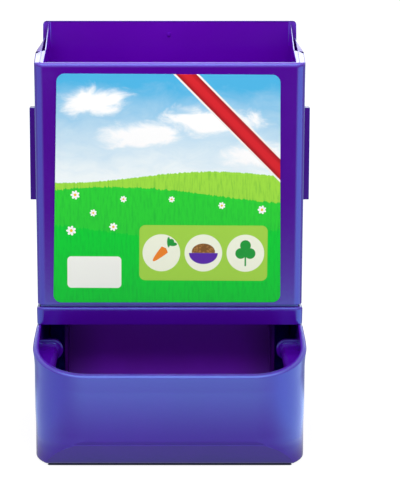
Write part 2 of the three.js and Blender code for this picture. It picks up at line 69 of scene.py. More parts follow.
def quarter(steps):
    # the angles of a quarter turn
    return [math.pi / 2 * step / steps for step in range(steps + 1)]


class Shell:
    # collects closed skins that belong to one moulding
    def __init__(self):
        self.points, self.faces = [], []

    def loft(self, rings, closed=True):
        first, count = len(self.points), len(rings[0])
        for ring in rings:
            self.points.extend(ring)
        for level in range(len(rings) if closed else len(rings) - 1):
            above = (level + 1) % len(rings)
            for step in range(count):
                after = (step + 1) % count
                self.faces.append((
                    first + level * count + step, first + level * count + after,
                    first + above * count + after, first + above * count + step))
        if not closed:
            last = first + (len(rings) - 1) * count
            self.faces.append(tuple(range(first + count - 1, first - 1, -1)))
            self.faces.append(tuple(range(last, last + count)))

    def pad(self, plan, bottom, top, edge):
        # a plate with softened edges, lying flat
        soft = edge * 0.3
        levels = [(edge, bottom), (soft, bottom + soft), (0, bottom + edge),
                  (0, top - edge), (soft, top - soft), (edge, top)]
        self.loft([[(x, y, height) for x, y in planLoop(plan, inset)] for inset, height in levels], False)

    def turned(self, profile, centre, steps=48):
        # a turned skin on an axis that runs back, from (radius, depth) pairs
        rings = []
        for radius, depth in profile:
            ring = []
            for step in range(steps):
                angle = -math.tau * step / steps
                ring.append((centre[0] + radius * math.cos(angle), centre[1] + depth,
                             centre[2] + radius * math.sin(angle)))
            rings.append(ring)
        self.loft(rings, profile[0][0] > 0)  # a profile that starts on the axis gets end faces

    def piece(self, name):
        mesh = bpy.data.meshes.new(name)
        mesh.from_pydata([place(point) for point in self.points], [], self.faces)
        return newPiece(name, mesh)


def planLoop(plan, inset=0.0):
    # outline seen from above, counter-clockwise from the right front corner
    side, stops, cross = plan.get("sideAt"), plan.get("stops", ()), plan.get("cross", ())
    front, rear = plan["front"] + inset, plan["rear"] - inset
    clip = max(plan.get("clip", front), front)  # a chamfer can cut the front away up to here
    frontRadius = max(plan["frontRadius"] - inset, plan.get("least", 0.3))
    rearRadius = max(plan["rearRadius"] - inset, plan.get("least", 0.3))
    steps, apart = plan["steps"], 0.02  # the stops stay this far apart where a corner crowds them

    def half(depth):
        return (side(depth) if side else plan["half"]) - inset

    def arc(sign, end, radius, start):
        depth = front + radius if end == "front" else rear - radius
        centre = sign * (half(depth) - radius)
        turn = math.pi / 2
        if end == "front":
            turn = -math.asin(max((clip - depth) / radius, -1.0))
            start = start if sign < 0 else -turn
        return [(centre + radius * math.cos(start + turn * step / steps),
                 depth + radius * math.sin(start + turn * step / steps)) for step in range(steps + 1)]

    low, high = front + frontRadius, rear - rearRadius
    depths = [min(max(stop, low + apart * (index + 1)), high - apart * (len(stops) - index))
              for index, stop in enumerate(stops)]
    loop = arc(1, "front", frontRadius, -math.pi / 2)
    loop += [(half(depth), depth) for depth in depths]
    loop += arc(1, "rear", rearRadius, 0)
    loop += [(spot, rear) for spot in reversed(cross)]
    loop += arc(-1, "rear", rearRadius, math.pi / 2)
    loop += [(-half(depth), depth) for depth in reversed(depths)]
    loop += arc(-1, "front", frontRadius, math.pi)
    loop += [(spot, clip) for spot in cross]
    return loop


def newPiece(name, mesh, outward=True):
    obj = bpy.data.objects.new(name, mesh)
    bpy.context.scene.collection.objects.link(obj)
    if outward:
        edit = bmesh.new()
        edit.from_mesh(mesh)
        bmesh.ops.remove_doubles(edit, verts=edit.verts, dist=weldDistance)
        bmesh.ops.recalc_face_normals(edit, faces=edit.faces)
        edit.to_mesh(mesh)
        edit.free()
    return obj


def smooth(obj, angle=32, bevel=None, segments=3):
    # rounds the edges if asked, shades curved faces smooth and keeps flat ones flat
    mesh = obj.data
    mesh.polygons.foreach_set("use_smooth", [True] * len(mesh.polygons))
    if bevel:
        rounding = obj.modifiers.new("edgeRounding", "BEVEL")
        rounding.width = bevel * mm
        rounding.segments = segments
        rounding.limit_method = "ANGLE"
        rounding.angle_limit = math.radians(angle)
        rounding.use_clamp_overlap = True
        rounding.miter_outer = "MITER_ARC"
    else:
        mesh.set_sharp_from_angle(angle=math.radians(angle))
    weighting = obj.modifiers.new("flatFaces", "WEIGHTED_NORMAL")
    weighting.keep_sharp = True
    return obj


def cutAway(obj, shell):
    # takes a closed skin out of a piece
    cutter = shell.piece("cutter")
    cut = obj.modifiers.new("cutAway", "BOOLEAN")
    cut.operation, cut.solver, cut.object = "DIFFERENCE", "EXACT", cutter
    evaluated = obj.evaluated_get(bpy.context.evaluated_depsgraph_get())
    mesh = bpy.data.meshes.new_from_object(evaluated)
    obj.modifiers.clear()
    obj.data = mesh
    bpy.data.objects.remove(cutter)


def roundedCopy(node, name, bevel, lowered=0.0):
    # a copy of the CAD solid with its triangles merged and its edges rounded; its top can be set lower
    sameFace, topBand = math.radians(1.5), 0.1 * mm
    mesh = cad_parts[node].data.copy()
    mesh.name = name
    mesh.materials.clear()
    edit = bmesh.new()
    edit.from_mesh(mesh)
    bmesh.ops.remove_doubles(edit, verts=edit.verts, dist=weldDistance)
    bmesh.ops.dissolve_limit(edit, angle_limit=sameFace, verts=edit.verts, edges=edit.edges)
    top = max(vert.co.z for vert in edit.verts)
    for vert in edit.verts:
        if vert.co.z > top - topBand:
            vert.co.z -= lowered * mm
    edit.to_mesh(mesh)
    edit.free()
    return smooth(newPiece(name, mesh, outward=False), bevel=bevel)


def finishPiece(obj, body, slot, material, *nodes):
    obj.data.materials.clear()
    obj.data.materials.append(material)
    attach(obj, body)
    if nodes:
        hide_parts(*nodes)
    return obj


# Node trees

class Value:
    # a number in a node tree: expressions on it add Math nodes
    def __init__(self, graph, socket):
        self.graph, self.socket = graph, socket

    def math(self, operation, *others, clamp=False):
        sockets = dict(enumerate((self, *others)))
        made = self.graph.node("ShaderNodeMath", {"operation": operation, "use_clamp": clamp}, sockets)
        return Value(self.graph, made.outputs[0])

    def flipped(self, operation, other):
        made = self.graph.node("ShaderNodeMath", {"operation": operation}, {0: other, 1: self})
        return Value(self.graph, made.outputs[0])

    def __add__(self, other): return self.math("ADD", other)
    def __radd__(self, other): return self.math("ADD", other)
    def __sub__(self, other): return self.math("SUBTRACT", other)
    def __rsub__(self, other): return self.flipped("SUBTRACT", other)
    def __mul__(self, other): return self.math("MULTIPLY", other)
    def __rmul__(self, other): return self.math("MULTIPLY", other)
    def __truediv__(self, other): return self.math("DIVIDE", other)
    def __rtruediv__(self, other): return self.flipped("DIVIDE", other)
    def __lt__(self, other): return self.math("LESS_THAN", other)
    def __gt__(self, other): return self.math("GREATER_THAN", other)
    def __abs__(self): return self.math("ABSOLUTE")

    def highest(self, other): return self.math("MAXIMUM", other)
    def sine(self): return self.math("SINE")
    def root(self): return self.math("SQRT")
    def limited(self): return self.math("ADD", 0.0, clamp=True)

    def ramp(self, low, high):
        # 0 below low and 1 above high, with a soft step between
        made = self.graph.node("ShaderNodeMapRange", {"interpolation_type": "SMOOTHSTEP"},
                               {"Value": self, "From Min": low, "From Max": high})
        return Value(self.graph, made.outputs["Result"])


class Graph:
    def __init__(self, tree):
        self.tree = tree

    def node(self, kind, settings=None, inputs=None):
        made = self.tree.nodes.new(kind)
        for name, setting in (settings or {}).items():
            setattr(made, name, setting)
        for key, value in (inputs or {}).items():
            socket = self.socket(made.inputs, key)
            if isinstance(value, Value):
                self.tree.links.new(value.socket, socket)
            elif isinstance(value, bpy.types.NodeSocket):
                self.tree.links.new(value, socket)
            else:
                socket.default_value = value
        return made

    def socket(self, sockets, key):
        if isinstance(key, int):
            return sockets[key]
        for socket in sockets:
            if socket.identifier == key:
                return socket
        return sockets[key]

    def value(self, node, key=0):
        return Value(self, self.socket(node.outputs, key))

    def rays(self):
        # what the camera sees straight, and what it sees mirrored or through something clear
        path = self.node("ShaderNodeLightPath")
        seen, glossy, clear = [self.value(path, f"Is {kind} Ray") for kind in ("Camera", "Glossy", "Transmission")]
        return seen, glossy.highest(clear)

    def mix(self, factor, first, second):
        made = self.node("ShaderNodeMix", {"data_type": "RGBA"},
                         {"Factor_Float": factor, "A_Color": first, "B_Color": second})
        return self.socket(made.outputs, "Result_Color")


def paint(code):
    # a written colour, such as 55009e, as the linear values that Blender mixes
    parts = [int(code[start:start + 2], 16) / 255 for start in (0, 2, 4)]
    return (*[part / 12.92 if part <= 0.04045 else ((part + 0.055) / 1.055) ** 2.4 for part in parts], 1.0)


class Finish(Graph):
    def __init__(self, name):
        self.material = bpy.data.materials.new(name)
        self.material.use_nodes = True
        super().__init__(self.material.node_tree)
        self.tree.nodes.clear()
        self.where = self.node("ShaderNodeTexCoord").outputs["Object"]
        parts = self.node("ShaderNodeSeparateXYZ", None, {"Vector": self.where})
        self.across, self.back, self.up = [self.value(parts, axis) / mm for axis in ("X", "Y", "Z")]

    def noise(self, scale, detail=3.0, roughness=0.5, vector=None, distortion=0.0):
        made = self.node("ShaderNodeTexNoise", None, {
            "Vector": vector or self.where, "Scale": scale, "Detail": detail,
            "Roughness": roughness, "Distortion": distortion})
        return self.value(made, "Fac")

    def stretched(self, scale):
        return self.node("ShaderNodeMapping", None, {"Vector": self.where, "Scale": scale}).outputs[0]

    def surface(self, colour, roughness, bump, distance, paintedShade=None, **settings):
        relief = self.node("ShaderNodeBump", None, {"Height": bump, "Distance": distance, "Strength": 1.0})
        inputs = {"Base Color": colour, "Roughness": roughness, "Normal": relief.outputs[0]}
        inputs.update(settings)
        seen = self.node("ShaderNodeBsdfPrincipled", None, inputs).outputs[0]
        if paintedShade is not None:  # painted shade: a dark diffuse mixed in where no light gets in
            dark = self.node("ShaderNodeBsdfDiffuse", None, {"Color": paint(paintedShadeLook["colour"])})
            seen = self.node("ShaderNodeMixShader", None, {0: paintedShade, 1: seen, 2: dark.outputs[0]}).outputs[0]
        self.node("ShaderNodeOutputMaterial", None, {"Surface": seen})
        return self.material


# Finishes

plasticLook = {
    # the inner colour is darker than the bin's: painted shade for the pieces inside the trough
    "binColour": "53009a", "baseColour": "4e04a2", "innerShadedColour": "4c0080",
    "flowColour": "430088", "flowShare": 0.35,  # cooler streaks where the melt ran
    "flowNoise": (9.0, 4.0, 0.55), "flowStretch": (1.0, 1.0, 0.35), "flowWarp": 0.6, "flowEdges": (0.35, 0.75),
    "mottleColour": "6406b0", "mottleShare": 0.4, "mottleNoise": (60.0, 3.0),
    "sideShadeColour": "0c0018", "sideShadeReach": (30.0, 56.0), "innerPaintedSideShade": 0.55,  # painted shade: the inside darkens to the sides
    "gloss": 0.17, "binGloss": 0.13, "innerGloss": 0.45, "glossSpread": 0.05,
    "wearNoise": (30.0, 5.0, 0.7), "wearEdges": (0.55, 0.8), "wearShare": 0.05,  # rubbed, duller patches
    "peelNoise": (700.0, 2.0, 0.4), "peelDepth": 0.000012,  # the moulded skin's orange peel
    "ior": 1.65, "sheenTint": (0.18, 0.56, 1.0, 1.0), "sheen": 1.0, "innerSheen": 0.1,
}

# painted shade in the side rims' groove and notch and along the back wall's top edge, in the frame's own millimetres
paintedShadeLook = {
    "colour": "1c0048", "soft": 0.1, "foot": 195.2,
    "grooveMiddle": 63.55, "grooveHalf": 0.6, "grooveSpread": 0.024, "grooveSoft": 0.15,
    "grooveFront": -6.9, "grooveRear": 40.6, "notchFront": -7.15, "notchRear": -5.3, "notchSide": 63.0,
    "topEdge": (209.5, 210.6), "topShade": 0.55,
}


def rimPaintedShade(finish):
    # painted shade: a mask for the rims' dark groove and notch and the back wall's darker top edge
    look = paintedShadeLook

    def past(value, place):
        return value.ramp(place, place + look["soft"])

    aside, back, high = abs(finish.across), finish.back, past(finish.up, look["foot"])
    middle = look["grooveMiddle"] + (back - look["grooveFront"]) * look["grooveSpread"]
    groove = 1.0 - abs(aside - middle).ramp(look["grooveHalf"], look["grooveHalf"] + look["grooveSoft"])
    groove = groove * past(back, look["grooveFront"]) * (1.0 - past(back, look["grooveRear"]))
    notch = past(aside, look["notchSide"]) * past(back, look["notchFront"]) * (1.0 - past(back, look["notchRear"]))
    edge = finish.up.ramp(*look["topEdge"]) * look["topShade"]
    return (groove * high).highest(notch * high).highest(edge)


def violetPlastic(name, colour, gloss, sheen, paintedSideShade=0.0, withPaintedShade=False):
    finish, look = Finish(name), plasticLook
    flow = finish.noise(*look["flowNoise"], finish.stretched(look["flowStretch"]), look["flowWarp"])
    mottle = finish.noise(*look["mottleNoise"]) - 0.5
    body = finish.mix(flow.ramp(*look["flowEdges"]) * look["flowShare"], paint(colour), paint(look["flowColour"]))
    body = finish.mix(mottle.highest(0.0) * look["mottleShare"], body, paint(look["mottleColour"]))
    # painted shade towards the sides
    body = finish.mix(abs(finish.across).ramp(*look["sideShadeReach"]) * paintedSideShade, body, paint(look["sideShadeColour"]))
    peel = finish.noise(*look["peelNoise"])
    wear = finish.noise(*look["wearNoise"]).ramp(*look["wearEdges"])
    rough = (gloss + mottle * look["glossSpread"] + wear * look["wearShare"]).limited()
    return finish.surface(body, rough, peel, look["peelDepth"], rimPaintedShade(finish) if withPaintedShade else None, **{
        "IOR": look["ior"], "Specular IOR Level": sheen, "Specular Tint": look["sheenTint"]})


zincLook = {
    "colour": "c3c7cc", "stain": "8f959c", "metallic": 0.92, "rough": 0.32,
    "cloudNoise": (160.0, 4.0, 0.6), "cloudEdges": (0.35, 0.75), "cloudShare": 0.5,
    "spotNoise": (420.0, 3.0, 0.6), "spotEdges": (0.6, 0.72), "spotShare": 0.3, "spotRough": 0.12,
    "grainNoise": (1400.0, 2.0, 0.5), "grainStretch": (1.0, 0.15, 1.0), "grainRough": 0.16, "grainDepth": 0.000012,
}


def zincSteel(name):
    finish, look = Finish(name), zincLook
    cloud = finish.noise(*look["cloudNoise"]).ramp(*look["cloudEdges"])
    grain = finish.noise(*look["grainNoise"], finish.stretched(look["grainStretch"]))
    spots = finish.noise(*look["spotNoise"]).ramp(*look["spotEdges"])
    colour = finish.mix((cloud * look["cloudShare"] + spots * look["spotShare"]).limited(),
                        paint(look["colour"]), paint(look["stain"]))
    rough = (look["rough"] + (grain - 0.5) * look["grainRough"] + spots * look["spotRough"]).limited()
    return finish.surface(colour, rough, grain, look["grainDepth"], Metallic=look["metallic"])


# Label print: sky over a meadow, in the label's own millimetres from its middle

labelLook = {
    "corners": ((-55.7, 188.7), (54.5, 188.1), (55.5, 74.0), (-58.4, 73.9)),  # from the upper left, clockwise
    "centre": (-1.0, 131.2), "tilt": 0.3, "cornerSteps": 12, "cornerRadius": 4.0,
    "filmRows": ((0.06, -0.1), (0.0, -0.05), (0.0, -0.28), (0.07, -0.35)),  # inset and depth, from front to back
    "soft": 0.15, "fine": 0.1,  # how far the print's edges blur
    "skyHigh": "4db4e4", "skyLow": "f2fafc", "skyFoot": 6.0, "skyDepth": 46.0, "skyFleece": 0.5,
    "fleeceNoise": (60.0, 6.0, 0.62), "fleeceStretch": (1.0, 1.0, 1.9), "fleeceWarp": 0.5,
    "cloud": "ffffff", "cloudFleece": 1.9, "cloudEdges": (-0.05, 0.6),
    "clouds": ((-38.0, 44.0, 22.0, 9.0), (-14.0, 27.0, 26.0, 8.0), (22.0, 34.0, 26.0, 10.0), (44.0, 18.0, 22.0, 7.0)),
    "fields": ((6.0, 3.0, 24.0, 0.6, 0.9, "a4e244"), (-3.0, 4.0, 31.0, 2.4, 1.4, "2bd536"),
               (-21.0, 3.6, 27.0, 4.4, 1.8, "00d236")),  # height, swell, length, phase, blades and colour
    "bladeNoise": (1000.0, 3.0, 0.6), "bladeStretch": (1.0, 1.0, 0.14), "bladeMiddle": 0.45, "bladeLift": 2.4,
    "bladeEdges": (0.4, 0.75), "bladeShade": 0.35, "shade": "04a236", "shadeDepth": 220.0, "fieldEdges": (-0.15, 0.3),
    "flowers": ((-46.0, -3.0, 2.3), (-37.0, -12.0, 1.8), (-22.0, -5.0, 1.7), (-48.0, -21.0, 2.5), (-27.0, -19.0, 2.1),
                (2.0, -5.0, 1.6), (27.0, -8.0, 1.8), (47.0, -10.0, 2.2)),
    "petalTurns": 3.5, "petalFloor": 0.6, "petalEdge": 0.12, "heart": "f6c62e", "heartShare": 0.3,
    "ribbon": "d8222c", "ribbonDeep": "a9151f", "ribbonEdge": "fbf4ee",
    "ribbonAt": 66.0, "ribbonHalf": 3.6, "ribbonBorder": 0.9, "ribbonFold": (0.2, 1.0),
    "panel": "a4d64a", "panelBox": (-14.0, -46.0, 50.0, -18.0, 3.0),  # left, low, right, high and corner
    "note": "f6f8f0", "noteBox": (-50.0, -50.0, -23.0, -34.0, 2.0),
    "disc": "f4f8e2", "discs": (-3.0, 18.0, 39.0), "discHeight": -32.0, "discRadius": 9.4,
    "carrot": "f0862a", "carrotTip": 6.0, "carrotLength": 9.0, "carrotHalf": 2.3, "carrotTop": (2.2, 3.5, 3.4),
    "carrotEdges": (-0.1, 0.12), "carrotBlur": 0.3,
    "leaf": "1f9a3c", "carrotLeaves": ((0.6, -26.6, 0.8, 2.6), (2.6, -27.6, 2.2, 1.0), (1.9, -26.4, 1.5, 1.5)),
    "bowl": "5a2aa8", "bowlHalf": (7.2, 5.6), "heap": (0.6, 5.8, 4.2),
    "pellet": "b07c42", "pelletDeep": "80562c", "pelletEdges": (0.2, 0.6),
    "pelletCells": {"Scale": 700.0, "Randomness": 0.9}, "pelletStretch": (1.0, 0.0, 1.5),
    "cloverTurns": (90.0, 210.0, 330.0), "cloverLeaf": 2.7, "cloverRise": 1.2,
    "cloverStem": (38.6, -38.6, 39.4, -32.0, 0.3),
    "rough": 0.34, "grainNoise": (900.0, 2.0, 0.5), "grainRough": 0.08, "grainDepth": 0.000008,
    "ior": 1.45, "sheen": 0.25,
}


def printedFilm(name):
    finish, look = Finish(name), labelLook
    turn = math.radians(look["tilt"])
    across, up = finish.across - look["centre"][0], finish.up - look["centre"][1]
    x = across * math.cos(turn) + up * -math.sin(turn)
    z = up * math.cos(turn) + across * math.sin(turn)
    soft, fine = look["soft"], look["fine"]

    def away(centreX, centreZ, wide=1.0, tall=1.0):
        # distance from a point, measured in shares of an oval's half sizes
        offX, offZ = (x - centreX) / wide, (z - centreZ) / tall
        return (offX * offX + offZ * offZ).root()

    def disc(centreX, centreZ, wide, tall=None):
        return 1.0 - (away(centreX, centreZ, wide, tall or wide) - 1.0).ramp(-soft / wide, soft / wide)

    def panel(left, low, right, high, corner):
        offX = (abs(x - (left + right) / 2) - (right - left) / 2 + corner).highest(0.0)
        offZ = (abs(z - (low + high) / 2) - (high - low) / 2 + corner).highest(0.0)
        return 1.0 - ((offX * offX + offZ * offZ).root() - corner).ramp(-soft, soft)

    def over(mask, tone):
        return finish.mix(mask, colour, paint(look[tone]) if isinstance(tone, str) else tone)

    # sky with drifting clouds
    fleece = finish.noise(*look["fleeceNoise"], finish.stretched(look["fleeceStretch"]), look["fleeceWarp"]) - 0.5
    colour = finish.mix(((z - look["skyFoot"]) / look["skyDepth"] + fleece * look["skyFleece"]).limited(),
                        paint(look["skyLow"]), paint(look["skyHigh"]))
    clouds = None
    for cloud in look["clouds"]:
        puff = 1.0 - away(*cloud)
        clouds = puff if clouds is None else clouds.highest(puff)
    colour = over((clouds + fleece * look["cloudFleece"]).ramp(*look["cloudEdges"]), "cloud")

    # meadow in three waves, each with an edge of grass blades
    blades = finish.noise(*look["bladeNoise"], finish.stretched(look["bladeStretch"]))
    for base, swell, length, phase, lift, tone in look["fields"]:
        grass = (blades - look["bladeMiddle"]) * lift * look["bladeLift"]
        below = (x / length + phase).sine() * swell + base + grass - z
        shade = (blades.ramp(*look["bladeEdges"]) * look["bladeShade"] + below / look["shadeDepth"]).limited()
        colour = over(below.ramp(*look["fieldEdges"]), finish.mix(shade, paint(tone), paint(look["shade"])))

    # daisies
    floor, edge = look["petalFloor"], look["petalEdge"]
    for centreX, centreZ, size in look["flowers"]:
        spread = (z - centreZ).math("ARCTAN2", x - centreX) * look["petalTurns"]
        petals = (abs(spread.sine()) * (1.0 - floor) + floor) * size - away(centreX, centreZ)
        colour = over(petals.ramp(-edge, edge), "cloud")
        colour = over(disc(centreX, centreZ, size * look["heartShare"]), "heart")

    # ribbon across a corner, a lime panel with three small pictures, and a blank white note
    half = look["ribbonHalf"]
    slant = abs((x + z - look["ribbonAt"]) / math.sqrt(2))
    colour = over((slant - half - look["ribbonBorder"]).ramp(soft, -soft), "ribbonEdge")
    fold = finish.mix((slant / half).ramp(*look["ribbonFold"]), paint(look["ribbon"]), paint(look["ribbonDeep"]))
    colour = over((slant - half).ramp(soft, -soft), fold)
    colour = over(panel(*look["panelBox"]), "panel")
    colour = over(panel(*look["noteBox"]), "note")
    line = look["discHeight"]
    for centreX in look["discs"]:
        colour = over(disc(centreX, line, look["discRadius"]), "disc")
    carrotX, bowlX, cloverX = look["discs"]
    colour = over(carrotShape(x - carrotX, z - line), "carrot")
    for leaf in look["carrotLeaves"]:
        colour = over(disc(*leaf), "leaf")
    cells = finish.node("ShaderNodeTexVoronoi", {"feature": "F1"}, {
        "Vector": finish.stretched(look["pelletStretch"]), **look["pelletCells"]})
    grains = finish.mix(finish.value(cells, "Distance").ramp(*look["pelletEdges"]),
                        paint(look["pellet"]), paint(look["pelletDeep"]))
    rise, *heap = look["heap"]
    colour = over(disc(bowlX, line + rise, *heap) * (z - line).ramp(-fine, fine), grains)
    colour = over(disc(bowlX, line, *look["bowlHalf"]) * (z - line).ramp(fine, -fine), "bowl")
    leaf, rise = look["cloverLeaf"], look["cloverRise"]
    for turned in look["cloverTurns"]:
        angle = math.radians(turned)
        colour = over(disc(cloverX + leaf * math.cos(angle), line + rise + leaf * math.sin(angle), leaf), "leaf")
    colour = over(panel(*look["cloverStem"]), "leaf")

    grain = finish.noise(*look["grainNoise"])
    rough = (look["rough"] + (grain - 0.5) * look["grainRough"]).limited()
    return finish.surface(colour, rough, grain, look["grainDepth"], **{
        "IOR": look["ior"], "Specular IOR Level": look["sheen"]})


def carrotShape(x, z):
    # a root that tapers to the lower left
    look, blur = labelLook, labelLook["carrotBlur"]
    along, side = (x + z) / math.sqrt(2), (x - z) / math.sqrt(2)
    shoulder, crown, cut = look["carrotTop"]
    fromTip = along + look["carrotTip"]
    width = (fromTip / look["carrotLength"]).limited().root() * look["carrotHalf"]
    width = width * (1.0 - along.ramp(shoulder, crown))
    root = (width - abs(side)).ramp(*look["carrotEdges"])
    return root * fromTip.ramp(0.0, blur) * (cut - along).ramp(0.0, blur)


# the bin's plastic carries the painted shade of its rims and its back top edge
binPlastic = violetPlastic("violetBinPlastic", plasticLook["binColour"], plasticLook["binGloss"],
                           plasticLook["sheen"], withPaintedShade=True)
basePlastic = violetPlastic("violetBasePlastic", plasticLook["baseColour"], plasticLook["gloss"],
                            plasticLook["sheen"])
# a darker copy of the violet plastic, with less sheen, for the ramp and sifter floor: painted shade of the trough's
# inside
innerShadedPlastic = violetPlastic("violetInnerPlastic", plasticLook["innerShadedColour"], plasticLook["innerGloss"],
                             plasticLook["innerSheen"], plasticLook["innerPaintedSideShade"])
labelFilm = printedFilm("printedLabelFilm")
zinc = zincSteel("zincPlatedSteel")
print("finishes made")


# Bin: walls, thick rims with a ridge, spigot and slide flanges

binSizes = {
    "half": 67.0, "footHalf": 66.6, "depth": 70.3, "foot": 72.4, "straightTop": 182.4, "backTop": 210.7,
    "frontCorner": 4.6, "rearCorner": 2.0, "innerCorners": (1.2, 1.0), "cornerSteps": 10, "wall": 2.4, "ear": 2.5,
    "footRound": 0.5, "footSoft": 0.15, "backStart": 67.8,
    "outerRim": [(0.0, 194.3), (19.45, 197.3), (19.46, 197.8), (28.1, 198.8), (66.4, 201.2), (67.3, 201.9),
                 (67.8, 208.2)],
    "ridge": [(1.5, 194.6), (24.0, 199.4), (67.4, 209.8), (67.8, 210.7)],
    "ridgeSide": [(0.0, 62.3), (18.8, 62.1), (24.0, 62.05), (67.0, 63.2)],
    "ridgeOuter": [(0.0, 64.1), (18.8, 64.1), (19.7, 62.65), (67.0, 63.55)],
    "bandSide": [(0.0, 64.4), (18.8, 64.4), (19.7, 64.3), (55.0, 65.3), (67.0, 65.6)],
    "outerSide": [(0.0, 67.0), (18.8, 67.45), (22.0, 67.4), (50.0, 66.7), (67.0, 66.5)],
    "edgeFront": 1.75, "edgeSide": 0.9, "edgeRear": 0.8, "edgeBlend": 3.0, "edgeSteps": 6,  # rounding of the tops
    "frontDrop": [(1.5, 0.9), (19.45, -0.1), (19.46, 0.0)],  # how much lower the rims lie up to the crease
    "facetEnd": 18.8, "pocket": [(19.7, 196.0), (67.3, 198.2)],  # a groove behind the crease
    "crease": (19.5, 21.1), "creaseSide": 64.0, "creaseDepth": 1.5,
    "rimRows": (  # line, shift outwards, distance from the front and from the rear, corners
        ("bandSide", 0.1, 2.05, 1.0, (1.65, 1.0)), ("bandSide", 0.0, 2.1, 1.05, (1.6, 1.0)),
        ("bandSide", -0.06, 2.15, 1.1, (1.55, 1.0)), ("ridgeOuter", 0.06, 2.2, 1.3, (1.5, 1.0)),
        ("ridgeOuter", 0.0, 2.25, 1.4, (1.4, 1.0)), ("ridgeOuter", -0.12, 2.3, 1.6, (1.3, 1.0)),
        ("ridgeSide", 0.24, 2.6, 2.0, (1.2, 1.0)), ("ridgeSide", 0.08, 2.85, 2.25, (1.2, 1.0)),
        ("ridgeSide", 0.0, 3.0, 2.4, (1.2, 1.0)), ("ridgeSide", 0.0, 3.0, 2.4, (1.2, 1.0))),
    "bandSoft": 0.04, "ridgeSoft": (0.12, 0.15, 0.5), "ridgeFace": 2.0,  # how far below the tops the rows lie
    "underside": (0.6, 2.2), "shoulder": 76.3,  # where the thick rim ends, and where the spigot starts
    "spigotRows": ((3.9, 3.45, 3.9, 74.8), (3.9, 3.45, 3.9, 64.8), (3.6, 3.15, 3.6, 64.5), (2.4, 1.95, 2.4, 64.5),
                   (2.1, 1.65, 2.1, 64.8), (2.1, 1.65, 2.1, 72.4)),  # in from side, front and rear, and height
    "stops": (6.0, 12.0, 18.8, 19.3, 19.7, 21.0, 21.3, 24.0, 28.1, 36.0, 45.0, 54.0, 61.0, 65.0, 66.4, 67.0, 67.3,
              67.55, 67.8),
    "cross": (-48.0, -32.0, -16.0, 0.0, 16.0, 32.0, 48.0),
    "flangeX": 69.05, "flangeFoot": 119.1, "flangeTop": 164.4, "flangeEdge": 0.5,
    "flange": {"half": 2.35, "front": 67.5, "rear": 69.9, "frontRadius": 0.5, "rearRadius": 0.5, "steps": 4},
    "screwX": 48.0, "screwZ": 67.7,
    "boss": ((1.65, 62.2), (3.2, 61.8), (3.4, 62.1), (3.4, 67.0), (1.65, 67.0)),  # round each collar screw
    "bossSteps": 32, "gateSteps": 20,
    "gate": (-0.5, 67.75, 203.6), "gateStub": ((0.0, -0.35), (0.8, -0.35), (1.1, 0.3), (0.0, 0.3)),  # a cut-off sprue
}


